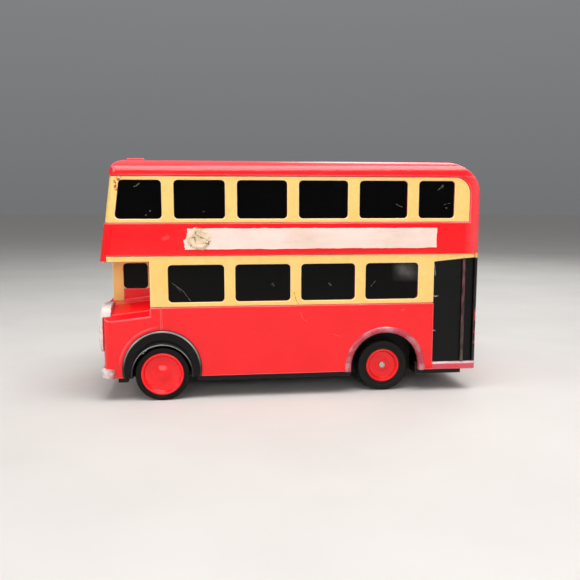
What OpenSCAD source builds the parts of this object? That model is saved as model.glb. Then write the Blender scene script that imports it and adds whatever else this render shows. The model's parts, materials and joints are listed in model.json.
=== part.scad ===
// Toy double-deck bus with a battery drive.
// +X is the front, +Y the pavement side with the open platform, +Z up.
// The origin lies on the ground, under the middle of the bus.

/* [Body] */
// Length from the rear panel to the face of the radiator
body_len = 115.5; // [114:0.5:120]
// Width over the side panels
body_w = 42; // [41:0.5:46]
// Height of the roof above the ground
roof_z = 71; // [70:0.5:75]
// Thickness of the moulded walls
wall = 2; // [1.8:0.1:2.4]
// Height of the lower edge of the side panels
skirt_z = 7; // [6.9:0.1:7.4]
// How far the radiator stands ahead of the front panel
nose_step = 1.35; // [1:0.05:2]
// How far the upper front leans back up to the top of the window band
front_lean = 3; // [1:0.1:4]
// Radius along the roof's side edges
roof_edge_r = 5; // [4:0.1:6]
// Radius of the roof's rear end, seen from the side
roof_rear_r = 11; // [9:0.1:12]
// Radius of the roof's front end, seen from the side
roof_front_r = 4.6; // [4:0.1:5]
// Radius of the upright rear corners
rear_corner_r = 1.2; // [0.8:0.1:2]
// Radius of the upright front corners
front_corner_r = 3.4; // [3.2:0.1:4]

/* [Decks] */
// Height of the line between the red panels and the lower window band
waist_z = 28; // [27:0.1:29]
// Height of the red roof above the upper window band
roof_h = 4.6; // [4.2:0.1:5]
// Height of the red band between the decks
panel_h = 9.5; // [9:0.1:10]
// How much taller the lower window band is than the upper one
band_extra = 1.7; // [1:0.1:2.4]
// How far the canopy lies below the top of the lower window band
canopy_drop = 1.8; // [1.4:0.1:2.2]
// Length of the bonnet, from the saloon's wall to the front panel
bonnet_len = 14; // [13:0.1:15]
// Pavement-side wall of the cab
cab_wall_y = 4; // [2:0.5:6]
// Front face of the cab, behind the front panel
cab_step = 1.2; // [0.8:0.1:2]
// Thickness of the cab's walls
cab_wall = 1.5; // [1.2:0.1:1.8]

/* [Upper windows] */
// Red corner left behind the band
band_rear = 3.25; // [3.1:0.05:4]
// Radius of the band's upper rear corner
band_r = 5; // [3:0.1:5]
// Yellow strip below and above the upper windows
upper_rail = 1.2; // [1:0.1:1.4]
// Width of the posts between the upper windows
upper_post = 3.5; // [3:0.1:4]
// Width of the last upper window
upper_last_w = 11.2; // [10:0.1:11.6]
// Yellow strip behind the last upper window
upper_rear = 4.95; // [4.5:0.05:5.5]
// Width of the pillar at the front corner
corner_post = 3.2; // [2.8:0.1:4]
// Corner radius of the windows
win_r = 1.2; // [0.8:0.1:1.6]

/* [Lower windows] */
// Yellow strip below the lower windows
lower_rail = 1.4; // [1.1:0.1:1.8]
// Yellow strip above the lower windows
lower_head = 2.8; // [2.4:0.1:3.2]
// Width of the posts between the lower windows
lower_post = 3.25; // [2.8:0.05:3.8]
// Yellow strip behind the lower windows
lower_rear = 5.075; // [4.8:0.025:5.5]
// Yellow strip ahead of the lower windows
lower_front = 5.375; // [5:0.025:5.8]

/* [Window mouldings] */
// Depth of the step in the body that takes a yellow moulding
band_step = 0.9; // [0.8:0.05:1]
// How far a yellow moulding lies below the red surface
frame_drop = 0.3; // [0.2:0.05:0.4]
// How far a pane lies below the red surface
pane_drop = 0.9; // [0.7:0.05:1.2]
// Thickness of the plate behind the panes
pane_t = 1; // [0.8:0.1:1.2]
// Rim of that plate around the windows
pane_rim = 1.1; // [0.9:0.1:1.2]
// Gap around a piece that drops into a recess
fit_gap = 0.1; // [0.05:0.01:0.15]
// Gap between faces that are seated on each other
seat_gap = 0.02; // [0.01:0.01:0.04]

/* [Platform] */
// Front edge of the platform, from the rear panel
platform_len = 13.95; // [13:0.05:14.5]
// Red corner left behind the platform
platform_rear = 1.2; // [1.2:0.05:1.6]
// Height of the platform's sill
sill_h = 2.2; // [2:0.1:3]
// Depth of the recess that takes the black panel
platform_step = 2; // [1.8:0.1:2.4]
// Thickness of the black panel
panel_t = 1; // [0.8:0.1:1.2]
// Diameter of the pole
pole_d = 1; // [0.9:0.1:1.6]
// Pole to the rear panel
pole_inset = 4.5; // [4:0.1:6]

/* [Side strip] */
// Rear panel to the rear end of the pale strip
label_rear = 13.75; // [10:0.25:25]
// Front panel to the front end of the pale strip
label_front = 24.4; // [22:0.1:30]
// Height of the pale strip
label_h = 6.1; // [5:0.1:6.6]
// Thickness of the pale strip
label_t = 0.15; // [0.1:0.05:0.25]
// Lower edge of the pale strip above the lower window band
label_lift = 1.8; // [1.2:0.1:2]

/* [Front end] */
// Fall of the bonnet towards the front, in degrees
bonnet_fall = 6.5; // [4:0.5:8]
// How far the bonnet's outer edge lies below the waist
bonnet_drop = 2.8; // [2.2:0.1:3.5]
// Rise of the bonnet from its outer edge to the cab
bonnet_rise = 4.4; // [3.5:0.1:5]
// Height of the red part of the cab's wall above the waist
cab_sill_h = 3.8; // [3.2:0.1:4.4]
// Room on each side of the radiator
radiator_side = 2; // [1.5:0.1:3]
// Height of the radiator's foot above the ground
radiator_z = 14.5; // [13:0.5:16]
// Height of the radiator
radiator_h = 14; // [13:0.5:15]
// Border of the radiator around its slats
radiator_rim = 1.6; // [1.2:0.1:2]
// Number of slats
slat_count = 7; // [5:1:9]
// Width of a slat
slat_w = 0.8; // [0.6:0.1:0.9]
// Height of the bumper
bumper_h = 2.9; // [2:0.1:3.4]
// Thickness of the bumper
bumper_t = 0.8; // [0.6:0.1:0.8]

/* [Wheels] */
// Front axle to the front panel
front_overhang = 17.2; // [16.8:0.1:17.8]
// Rear axle to the rear panel
rear_overhang = 29.05; // [28.75:0.05:29.55]
// Diameter of all tyres
tyre_d = 16; // [15.6:0.1:16.2]
// Diameter of the axles
axle_d = 2; // [1.8:0.1:2]
// Gap between an axle and its bearing, on the radius
bearing_gap = 0.05; // [0.03:0.01:0.08]
// Gap between pieces pressed together, on the radius
press_gap = 0.01; // [0.005:0.005:0.02]
// Diameter of the front hubs
front_hub_d = 13.6; // [12:0.1:14]
// Width of the front wheels
front_wheel_w = 5.4; // [4.5:0.1:5.6]
// How far the front wheels stand out from the side panels
front_wheel_out = 0.4; // [0:0.1:0.6]
// Diameter of the rear hubs
rear_hub_d = 10.5; // [9:0.1:11.5]
// Width of the rear wheels
rear_wheel_w = 4.9; // [4:0.1:5]
// How far the rear wheels lie inside the side panels
rear_wheel_in = 3; // [2.8:0.1:3.4]
// How far the rear axle's ends stand out of the hubs
axle_tip = 0.3; // [0.2:0.05:0.5]

/* [Wheel arches] */
// Outer radius of the front mudguards
guard_r = 11.7; // [11.5:0.1:12.2]
// How far the mudguards' outer rim stands above the wheel's middle
guard_rise = 1.6; // [0:0.1:1.8]
// Gap between a front tyre and its mudguard
guard_gap = 0.7; // [0.5:0.1:0.9]
// Thickness of the mudguards
guard_t = 0.8; // [0.6:0.1:1]
// Wall of the mudguard's tunnel
tunnel_t = 1.1; // [0.9:0.1:1.3]
// Depth of the mudguard's tunnel
tunnel_depth = 8; // [6:0.5:8]
// Outer radius of the rear arch bead
bead_r = 12.7; // [12.2:0.1:13]
// Width of the rear arch bead
bead_w = 1.9; // [1.6:0.1:2.2]
// How far the bead stands out
bead_out = 0.6; // [0.4:0.1:0.8]
// Lip of the bead inside the arch
bead_lip = 0.8; // [0.6:0.1:1]
// Height of the rear arch's middle above the axle
arch_lift = 0.3; // [0:0.1:0.6]

/* [Base] */
// Height of the base's underside
base_z = 5.2; // [5:0.1:5.4]
// Thickness of the base plate
base_t = 1.6; // [1.4:0.1:1.6]
// Height of the rim that plugs into the body
rim_h = 2.2; // [1.8:0.1:2.6]
// Thickness of that rim
rim_t = 1.5; // [1.2:0.1:1.6]
// Front and rear ends of the base, from the ends of the body
base_inset = 4; // [3.6:0.1:5]
// Gap between the rear wheels and the base
wheel_clear = 0.7; // [0.6:0.05:0.8]
// Half length of the cut for each wheel
wheel_cut = 10.3; // [10.2:0.1:10.6]
// Thickness of the bearing posts
post_t = 1.6; // [1.4:0.1:1.8]
// Wall between the rear wheels and the drive
well_t = 0.8; // [0.6:0.05:0.8]

/* [Battery] */
// Diameter of the cell
cell_d = 14.3; // [13.5:0.1:14.5]
// Rear axle to the battery box
box_rear = 11.7; // [11.6:0.1:12.8]
// Length of the cell's button
button_len = 1.2; // [1:0.1:1.6]
// Diameter of the cell's button
button_d = 5.2; // [4.5:0.1:5.5]
// Room around the cell
cell_gap = 0.35; // [0.25:0.05:0.5]
// Wall of the battery box
box_wall = 1.2; // [1:0.1:1.4]
// Thickness of the contact strips
contact_t = 0.4; // [0.3:0.05:0.5]
// Room at each end of the cell for its contact
contact_room = 1.7; // [1.5:0.1:2]
// Width of the contact strips
contact_w = 7; // [5:0.5:9]

/* [Screws] */
// Diameter of the screws' shanks
screw_d = 2; // [1.8:0.1:2.2]
// Diameter of the screws' heads
screw_head_d = 3.8; // [3.4:0.1:4]
// Height of the screws' heads
screw_head_h = 1; // [0.8:0.1:1.1]
// Length of the screws
screw_len = 8; // [7:0.5:9]
// Diameter of the bosses that take the screws
boss_d = 5; // [4.6:0.1:5.4]

/* [Motor] */
// Width of the motor's can
motor_w = 20; // [19:0.1:20.4]
// Height of the motor's can over its flats
motor_h = 15; // [14:0.1:15.4]
// Room for a wire between the motor's end cap and the panes
motor_room = 2.2; // [1.8:0.1:4]
// Wall of the motor's can
can_t = 0.8; // [0.6:0.05:1]
// Thickness of the motor's end cap
cap_t = 3; // [2.5:0.1:3.4]
// Diameter of the motor's bearing boss
motor_boss_d = 6; // [5:0.1:6.5]
// Diameter of the motor's shaft
shaft_d = 1.5; // [1.4:0.05:1.5]
// Thickness of the motor's magnets
magnet_t = 2.6; // [2.4:0.1:3]

/* [Gears] */
// Module of all gears
gear_module = 0.4; // [0.38:0.01:0.4]
// Thickness of a gear
gear_t = 1.4; // [1.2:0.05:1.4]
// Teeth of the motor's pinion
pinion_teeth = 8; // [8:1:9]
// Teeth of the first wheel
first_teeth = 26; // [24:1:26]
// Teeth of the second wheel
second_teeth = 22; // [20:1:22]
// Teeth of the small gear on each gear pair
small_teeth = 10; // [9:1:10]
// Teeth of the gear on the rear axle
axle_teeth = 20; // [18:1:20]
// Diameter of the gear pins
pin_d = 1; // [0.8:0.1:1]
// Thickness of the gearbox plates
plate_t = 1; // [0.9:0.05:1]
// Thinning of the teeth so that they run freely
backlash = 0.08; // [0.05:0.01:0.12]

/* [Switch] */
// Length of the roof slider
knob_len = 5.3; // [5:0.1:6]
// Width of the roof slider
knob_w = 8; // [6:0.5:9]
// Height of the roof slider above the roof
knob_h = 1.4; // [1:0.1:1.8]
// Middle of the roof slider at rest, behind the front panel
knob_inset = 9.2; // [9:0.1:9.6]
// Travel of the roof slider
knob_travel = 3; // [2:0.1:3.2]
// Length of the slider's stem along the bus
stem_len = 1.6; // [1.4:0.1:1.8]
// Width of the slider's stem
stem_w = 3; // [2.4:0.1:3.4]
// Gap under and around the slider
slide_gap = 0.08; // [0.05:0.01:0.1]

/* [Hidden] */
$fn = 64;

// Colours of the finishes
red = "#E02630";
yellow = "#F2CB62";
black = "#17181A";
pale = "#F0DCD2";
steel = "#A9ADB2";
brass = "#C9A24B";
nylon = "#E9E6DA";

// Far enough to pass through anything
far = 200;
// Overlap of a cut past a face
over = 1;
// Soft crease where the roof's ends meet its flat top
blend = 0.05;

// Body planes
x_rear = -body_len/2;
x_front = body_len/2 - nose_step;
half_w = body_w/2;
inner_w = half_w - wall;
bulkhead_x = x_front - bonnet_len;
front_axle_x = x_front - front_overhang;
rear_axle_x = -x_rear - rear_overhang;
seam_x = front_axle_x;
platform_x = x_rear + platform_len;
platform_end = x_rear + platform_rear;
rear_face = half_w - rear_wheel_in;
rear_inner = rear_face - rear_wheel_w;
waist_w = rear_inner - wheel_clear;

// Heights of the decks: the two window bands share what the red panels leave
band_z1 = roof_z - roof_h;
upper_band_h = (band_z1 - waist_z - panel_h - band_extra)/2;
band_z0 = band_z1 - upper_band_h;
lower_band_z = band_z0 - panel_h;
canopy_z = lower_band_z - canopy_drop;
cab_sill_z = waist_z + cab_sill_h;
bonnet_edge_z = waist_z - bonnet_drop;
lean_rise = 2.5;
lean_z = canopy_z + lean_rise;
lean_slope = front_lean/(band_z1 - lean_z);
lean_angle = atan(lean_slope);
wheel_z = tyre_d/2;
base_top = base_z + base_t;

// Inner radius of a rounded corner of radius r, d further in
function inside_r(r, d) = max(0, r - d);

// Place of the leaning front at height z, d inside the outer face
function front_x(z, d) = x_front - (z - lean_z)*lean_slope - d/cos(lean_angle);

// Direction from a to b
function toward(a, b) = (b - a)/norm(b - a);
function half_angle(a, b, c) = acos(toward(b, a)*toward(b, c))/2;

// Ends of the rounding of corner b between its neighbours
function round_ends(a, b, c, r) = r == 0 ? [b] :
    let (t = r/tan(half_angle(a, b, c)))
    [b + t*toward(b, a), b + t*toward(b, c)];

// Middle of the rounding of corner b
function round_middle(a, b, c, r) =
    let (m = toward(b, a) + toward(b, c))
    b + m/norm(m)*r/sin(half_angle(a, b, c));

// Convex outline with its own radius at each corner
module rounded_outline(pts, radii) {
    n = len(pts);
    polygon([for (i = [0:n - 1])
        each round_ends(pts[(i + n - 1)%n], pts[i], pts[(i + 1)%n], radii[i])]);
    for (i = [0:n - 1])
        if (radii[i] > 0)
            translate(round_middle(pts[(i + n - 1)%n], pts[i], pts[(i + 1)%n], radii[i]))
                circle(radii[i]);
}

// Rectangle with four equal round corners, no rounder than its sides allow
module rounded_rect(x0, x1, y0, y1, r) {
    c = min(r, 0.49*(x1 - x0), 0.49*(y1 - y0));
    rounded_outline([[x0, y0], [x1, y0], [x1, y1], [x0, y1]], [c, c, c, c]);
}

// Block given by its six faces
module block(x0, x1, y0, y1, z0, z1) {
    translate([x0, y0, z0])
        cube([x1 - x0, y1 - y0, z1 - z0]);
}

// Side outline drawn along and up, carried across the bus
module side_prism(y0, y1) {
    translate([0, y1, 0])
        rotate([90, 0, 0])
            linear_extrude(y1 - y0)
                children();
}

// Cross-section drawn across and up, carried along the bus
module cross_prism(x0, x1) {
    translate([x0, 0, 0])
        rotate([90, 0, 90])
            linear_extrude(x1 - x0)
                children();
}

// Plan drawn along and across, carried upwards
module plan_prism(z0, z1) {
    translate([0, 0, z0])
        linear_extrude(z1 - z0)
            children();
}

// Round bar across the bus
module cross_bar(x, z, y0, y1, r) {
    translate([x, y1, z])
        rotate([90, 0, 0])
            cylinder(r = r, h = y1 - y0);
}

// Whole rounded form of the body, d inside its outer faces
module envelope(d) {
    low = d > 0 ? skirt_z - over : skirt_z;
    top = roof_z - d;
    w = half_w - d;
    e = d - blend;
    intersection() {
        side_prism(-far, far)
            rounded_outline(
                [[x_rear + e, low], [front_x(low, e), low],
                 [front_x(roof_z - e, e), roof_z - e], [x_rear + e, roof_z - e]],
                [0, 0, inside_r(roof_front_r, e), inside_r(roof_rear_r, e)]);
        cross_prism(-far, far)
            rounded_outline([[-w, low - over], [w, low - over], [w, top], [-w, top]],
                [0, 0, inside_r(roof_edge_r, d), inside_r(roof_edge_r, d)]);
        plan_prism(low - over, top + over)
            rounded_outline([[x_rear + d, -w], [far, -w], [far, w], [x_rear + d, w]],
                [inside_r(rear_corner_r, d), 0, 0, inside_r(rear_corner_r, d)]);
        translate([x_front, 0, lean_z])
            rotate([0, -lean_angle, 0])
                plan_prism(-far/2, far/2)
                    rounded_outline([[-far, -w], [-d, -w], [-d, w], [-far, w]],
                        [0, inside_r(front_corner_r, d), inside_r(front_corner_r, d), 0]);
    }
}

// Layer of the body's form between two depths
module skin(outer, inner) {
    difference() {
        envelope(outer);
        envelope(inner);
    }
}

// Side outline of the upper window band, g larger all round
module upper_band(g) {
    rounded_outline(
        [[x_rear + band_rear - g, band_z0 - g], [far, band_z0 - g],
         [far, band_z1 + g], [x_rear + band_rear - g, band_z1 + g]],
        [0, 0, 0, band_r + g]);
}

// Upper windows on the sides, g larger all round
upper_win_z0 = band_z0 + upper_rail;
upper_win_z1 = band_z1 - upper_rail;
upper_edge = -x_rear - band_rear - upper_rear - upper_last_w - upper_post;
upper_win_w = (2*upper_edge - 3*upper_post)/4;
upper_pitch = upper_win_w + upper_post;

module upper_side_windows(g) {
    for (i = [-1.5:1:1.5])
        rounded_rect(i*upper_pitch - upper_win_w/2 - g, i*upper_pitch + upper_win_w/2 + g,
            upper_win_z0 - g, upper_win_z1 + g, win_r);
    rounded_rect(-upper_edge - upper_post - upper_last_w - g, -upper_edge - upper_post + g,
        upper_win_z0 - g, upper_win_z1 + g, win_r);
    rounded_outline(
        [[upper_edge + upper_post - g, upper_win_z0 - g],
         [front_x(upper_win_z0, corner_post) + g, upper_win_z0 - g],
         [front_x(upper_win_z1, corner_post) + g, upper_win_z1 + g],
         [upper_edge + upper_post - g, upper_win_z1 + g]],
        [win_r, win_r, win_r, win_r]);
}

// Upper windows at the front, seen from ahead
front_post = 2.4;
front_win_in = 0.8;
front_win_reach = 6;

module upper_front_windows(g) {
    for (side = [0, 1])
        mirror([side, 0])
            rounded_rect(front_post/2 - g, half_w - corner_post - front_win_in + g,
                upper_win_z0 - g, upper_win_z1 + g, win_r);
}

// All upper windows as cutters, or as blocks g smaller
module upper_windows(g) {
    side_prism(-far, far)
        upper_side_windows(g);
    cross_prism(upper_edge + upper_post + front_win_reach, far)
        upper_front_windows(g);
}

// Lower windows of one side
lower_win_z0 = waist_z + lower_rail;
lower_win_z1 = lower_band_z - lower_head;
lower_x0 = platform_x + lower_rear;
lower_x1 = bulkhead_x - lower_front;
lower_row_x = (lower_x0 + lower_x1)/2;
lower_win_w = (lower_x1 - lower_x0 - 3*lower_post)/4;
lower_pitch = lower_win_w + lower_post;
offside_last_w = 9;

module lower_side_windows(g) {
    for (i = [-1.5:1:1.5])
        rounded_rect(lower_row_x + i*lower_pitch - lower_win_w/2 - g,
            lower_row_x + i*lower_pitch + lower_win_w/2 + g,
            lower_win_z0 - g, lower_win_z1 + g, win_r);
}

module offside_last_window(g) {
    end = lower_x0 - lower_post;
    rounded_rect(end - offside_last_w - g, end + g, lower_win_z0 - g, lower_win_z1 + g, win_r);
}

// Outline of the pavement-side lower moulding, g larger all round
header_x = x_front - 1.8;
header_rear_z = canopy_z + 0.4;
header_front_z = canopy_z - 0.8;

module nearside_band(g) {
    polygon([
        [platform_end - g, lower_band_z + g], [platform_end - g, header_rear_z - g],
        [platform_x - g, header_front_z - g], [platform_x - g, waist_z - g],
        [bulkhead_x + g, waist_z - g], [bulkhead_x + g, canopy_z - g],
        [header_x + g, canopy_z - g], [header_x + g, lower_band_z + g]]);
}

// Outline of the road-side lower moulding, g larger all round
module offside_band(g) {
    polygon([
        [x_rear + band_rear - g, lower_band_z + g], [x_rear + band_rear - g, waist_z - g],
        [bulkhead_x + g, waist_z - g], [bulkhead_x + g, canopy_z - g],
        [header_x + g, canopy_z - g], [header_x + g, lower_band_z + g]]);
}

// Platform opening, g larger all round
platform_z = skirt_z + sill_h;
pad_t = 1.5;
pole_x = x_rear + pole_inset;

// Height of the platform's slanting head at x
function platform_head(x) = header_front_z
    + (header_rear_z - header_front_z)*(platform_x - x)/(platform_x - platform_end);

module platform_outline(g) {
    polygon([
        [platform_end - g, platform_z - g], [platform_x + g, platform_z - g],
        [platform_x + g, header_front_z + g], [platform_end - g, header_rear_z + g]]);
}

// Rear windows, seen from behind
rear_win_side = 5;
rear_win_end = 4;
rear_win_drop = 3;

module rear_window_upper(g) {
    rounded_rect(-half_w/2 - g, half_w/2 + g,
        upper_win_z0 - rear_win_drop - g, roof_z - roof_rear_r - pane_rim + g, win_r);
}

module rear_window_lower(g) {
    rounded_rect(-half_w + rear_win_side - g, rear_win_end + g, lower_win_z0 - g, lower_win_z1 + g, win_r);
}

// Wheel arches
guard_in = tyre_d/2 + guard_gap;
tunnel_r = guard_in + tunnel_t;
arch_z = wheel_z + arch_lift;
bead_in = bead_r - bead_w;
arch_r = bead_in + bead_lip;

module front_arch_cut() {
    cross_bar(front_axle_x, wheel_z, -far, far, tunnel_r + fit_gap);
}

module rear_arch_cut() {
    cross_bar(-rear_axle_x, arch_z, -far, far, arch_r + fit_gap);
}

// Switch in the roof
knob_x = x_front - knob_inset;
slot_x0 = knob_x - knob_travel - stem_len/2 - slide_gap;
slot_x1 = knob_x + stem_len/2 + slide_gap;
slot_w = stem_w/2 + slide_gap;
roof_in = roof_z - wall;
bar_t = 0.9;
bar_w = stem_w/2 + 1.4;
leg_w = 0.8;
wiper_t = 0.4;
strip_t = 0.2;
board_t = 1;
wiper_drop = 1.6;
bar_z = roof_in - slide_gap - bar_t;
strip_z = bar_z - wiper_drop - slide_gap;
board_z = strip_z - strip_t;
board_tail = 3.6;
board_lap = 1.2;
board_x0 = slot_x0 - board_tail;
board_x1 = slot_x1 + board_lap;
board_w = 6.5;
post_d = 2.4;
post_in = 1.6;
post_x = board_x0 + post_in;
post_y = board_w - post_in;

// Screws between base and body
boss_room = 0.3;
screw_inset = base_inset + rim_t + boss_d/2 + boss_room;
rear_screw_x = x_rear + screw_inset;
front_screw_x = x_front - screw_inset;
boss_h = 12;

module boss(x, z0, h) {
    translate([x, 0, z0])
        cylinder(d = boss_d, h = h);
}

module pilot_hole(x, z0) {
    translate([x, 0, z0 - over])
        cylinder(d = screw_d + 2*press_gap, h = screw_len + 2*over);
}

// Red body of the bus, one moulding open underneath
module body_shell() {
    color(red)
    difference() {
        union() {
            difference() {
                intersection() {
                    envelope(0);
                    union() {
                        block(-far, far, -far, far, canopy_z, far);
                        block(-far, bulkhead_x, -far, far, waist_z, canopy_z);
                        block(-far, seam_x, -far, far, 0, waist_z);
                    }
                }
                intersection() {
                    envelope(wall);
                    union() {
                        block(-far, far, -far, far, canopy_z + wall, far);
                        block(-far, bulkhead_x - wall, -far, far, -far, far);
                        block(-far, far, -far, far, -far, waist_z - wall);
                    }
                }
            }
            block(x_rear + wall - seat_gap, platform_x + wall, half_w - platform_step - pad_t,
                inner_w + pad_t/4, base_top + rim_h + fit_gap, lower_band_z + pad_t);
            boss(rear_screw_x, base_top + seat_gap, boss_h);
            block(x_rear + wall/2, rear_screw_x, -wall/2, wall/2, base_top + rim_h + fit_gap,
                base_top + boss_h);
            for (side = [-1, 1])
                translate([post_x, side*post_y, board_z + seat_gap])
                    cylinder(d = post_d, h = roof_in + wall/2 - board_z);
        }
        difference() {
            side_prism(-far, far)
                upper_band(0);
            envelope(band_step);
        }
        upper_windows(0);
        side_prism(half_w - band_step, far)
            nearside_band(0);
        side_prism(-far, -half_w + band_step)
            offside_band(0);
        side_prism(inner_w - over, far)
            lower_side_windows(0);
        side_prism(-far, -inner_w + over) {
            lower_side_windows(0);
            offside_last_window(0);
        }
        side_prism(half_w - platform_step, far)
            platform_outline(0);
        cross_prism(-far, x_rear + wall + over) {
            rear_window_upper(0);
            rear_window_lower(0);
        }
        front_arch_cut();
        rear_arch_cut();
        pilot_hole(rear_screw_x, base_top);
        block(slot_x0, slot_x1, -slot_w, slot_w, roof_in - over, roof_z + over);
    }
}

// Yellow moulding around the upper deck
module upper_window_frame() {
    color(yellow)
    difference() {
        intersection() {
            skin(frame_drop, band_step - seat_gap);
            side_prism(-far, far)
                upper_band(-fit_gap);
        }
        upper_windows(0);
    }
}

// Black panes of the upper deck, one insert behind the walls
module upper_glazing() {
    color(black) {
        intersection() {
            skin(wall + seat_gap, wall + pane_t);
            side_prism(-far, far)
                polygon([
                    [-upper_edge - upper_post - upper_last_w - pane_rim, upper_win_z0 - pane_rim],
                    [far, upper_win_z0 - pane_rim], [far, upper_win_z1 + pane_rim],
                    [-upper_edge - upper_post - upper_last_w - pane_rim, upper_win_z1 + pane_rim]]);
        }
        intersection() {
            skin(pane_drop, wall + pane_t/2);
            upper_windows(-fit_gap);
        }
    }
}

// Lower yellow moulding on the pavement side, over the platform and the bonnet
module lower_frame_left() {
    color(yellow)
    side_prism(half_w - band_step + seat_gap, half_w - frame_drop)
        difference() {
            nearside_band(-fit_gap);
            lower_side_windows(0);
        }
}

// Lower yellow moulding on the road side
module lower_frame_right() {
    color(yellow)
    side_prism(-half_w + frame_drop, -half_w + band_step - seat_gap)
        difference() {
            offside_band(-fit_gap);
            lower_side_windows(0);
            offside_last_window(0);
        }
}

// Black panes of the lower deck on the pavement side
module lower_glazing_left() {
    color(black) {
        side_prism(inner_w - pane_t, inner_w - seat_gap)
            square_around(lower_x0, lower_x1);
        side_prism(inner_w - pane_t/2, half_w - pane_drop)
            lower_side_windows(-fit_gap);
    }
}

// Black panes of the lower deck on the road side
module lower_glazing_right() {
    color(black) {
        side_prism(-inner_w + seat_gap, -inner_w + pane_t)
            square_around(lower_x0 - lower_post - offside_last_w, lower_x1);
        side_prism(-half_w + pane_drop, -inner_w + pane_t/2) {
            lower_side_windows(-fit_gap);
            offside_last_window(-fit_gap);
        }
    }
}

// Plate outline behind a row of lower windows
module square_around(x0, x1) {
    translate([x0 - pane_rim, lower_win_z0 - pane_rim])
        square([x1 - x0 + 2*pane_rim, lower_win_z1 - lower_win_z0 + 2*pane_rim]);
}

// Pane of the emergency window above the rear panel
module rear_upper_glazing() {
    color(black) {
        cross_prism(x_rear + wall + seat_gap, x_rear + wall + pane_t)
            rear_window_upper(pane_rim);
        cross_prism(x_rear + pane_drop, x_rear + wall + pane_t/2)
            rear_window_upper(-fit_gap);
    }
}

// Pane of the lower rear window
module rear_lower_glazing() {
    color(black) {
        cross_prism(x_rear + wall + seat_gap, x_rear + wall + pane_t)
            rear_window_lower(pane_rim);
        cross_prism(x_rear + pane_drop, x_rear + wall + pane_t/2)
            rear_window_lower(-fit_gap);
    }
}

// Plain pale strip on a side panel
module side_label(side) {
    label_x0 = x_rear + label_rear;
    label_z = lower_band_z + label_lift;
    y = side > 0 ? half_w + seat_gap : -half_w - seat_gap - label_t;
    color(pale)
    side_prism(y, y + label_t)
        translate([label_x0, label_z])
            square([x_front - label_front - label_x0, label_h]);
}

module side_label_left() {
    side_label(1);
}

module side_label_right() {
    side_label(-1);
}

// Black panel at the back of the platform
module platform_panel() {
    y = half_w - platform_step + seat_gap;
    color(black)
    side_prism(y, y + panel_t)
        platform_outline(-fit_gap);
}

// Upright pole of the platform, from its sill to its header
module grab_pole() {
    color(brass)
    translate([pole_x, half_w - platform_step + panel_t + pole_d/2 + 2*seat_gap, platform_z + seat_gap])
        cylinder(d = pole_d, h = platform_head(pole_x + pole_d/2) - platform_z - 2*seat_gap);
}

// Plan of the front end, g larger all round
module front_plan(g) {
    rounded_outline([[seam_x + seat_gap, -half_w - g], [x_front + g, -half_w - g],
        [x_front + g, half_w + g], [seam_x + seat_gap, half_w + g]],
        [0, front_corner_r + g, front_corner_r + g, 0]);
}

// Cross-section of the bonnet with its two ridges, d below its skin
outer_ridge_in = 2.8;
outer_ridge_z = bonnet_edge_z + 0.35*bonnet_rise;
inner_ridge_in = 9.5;
inner_ridge_z = bonnet_edge_z + 0.85*bonnet_rise;

module bonnet_section(d) {
    polygon([
        [cab_wall_y - far/4, -far/4], [half_w - d, -far/4],
        [half_w - d, bonnet_edge_z - d], [half_w - outer_ridge_in - d, outer_ridge_z - d],
        [half_w - inner_ridge_in - d, inner_ridge_z - d],
        [cab_wall_y - far/4, bonnet_edge_z + bonnet_rise - d]]);
}

// Bonnet falling towards the front, d below its skin
module bonnet_form(d) {
    translate([bulkhead_x, 0, 0])
        rotate([0, bonnet_fall, 0])
            cross_prism(-far/4, far/4)
                bonnet_section(d);
}

// Tongues of the front end that lie inside the body's side walls, out to y
tongue_len = 3;
tongue_t = 2;
tongue_z0 = wheel_z + tunnel_r + 0.6;
tongue_z1 = waist_z - wall - tongue_t;

module tongues(y) {
    for (side = [0, 1])
        mirror([0, side, 0])
            block(seam_x - tongue_len, seam_x + tongue_len, inner_w - tongue_t, y, tongue_z0, tongue_z1);
}

// Red front end: scuttle, bonnet and the lower half of the cab
module front_end() {
    scuttle_z = waist_z - seat_gap;
    color(red)
    difference() {
        union() {
            intersection() {
                plan_prism(skirt_z, cab_sill_z)
                    front_plan(0);
                union() {
                    block(seam_x, bulkhead_x + seat_gap, -far, far, 0, scuttle_z);
                    block(seam_x, far, -far, cab_wall_y, 0, scuttle_z);
                    intersection() {
                        bonnet_form(0);
                        block(bulkhead_x + seat_gap, far, cab_wall_y, far, 0, far);
                    }
                    block(bulkhead_x + seat_gap, cab_front - cab_pillar - seat_gap,
                        cab_wall_y - cab_wall, cab_wall_y, scuttle_z - wall, cab_sill_z);
                }
            }
            tongues(inner_w - fit_gap);
        }
        difference() {
            intersection() {
                plan_prism(skirt_z - over, scuttle_z - wall)
                    translate([-wall, 0])
                        intersection() {
                            front_plan(0);
                            square([far, 2*inner_w], center = true);
                        }
                bonnet_form(wall);
            }
            tongues(far);
            boss(front_screw_x, base_top + seat_gap, boss_h);
            block(front_screw_x, far, -wall/2, wall/2, base_top + rim_h + fit_gap, base_top + boss_h);
        }
        front_arch_cut();
        pilot_hole(front_screw_x, base_top);
    }
}

// Cab: three yellow walls with their windows
cab_front = x_front - cab_step;
cab_pillar = 3.3;
cab_rear_post = 1.9;
cab_head = 1.7;
windscreen_sill = 2.4;
cab_edge_w = half_w - frame_drop;

// Plan of the cab from x0 forwards, d inside its walls
module cab_plan(d, x0) {
    rounded_outline([[x0, -cab_edge_w + d], [cab_front - d, -cab_edge_w + d],
        [cab_front - d, cab_wall_y - d], [x0, cab_wall_y - d]],
        [0, inside_r(front_corner_r, d), 0, 0]);
}

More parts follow.
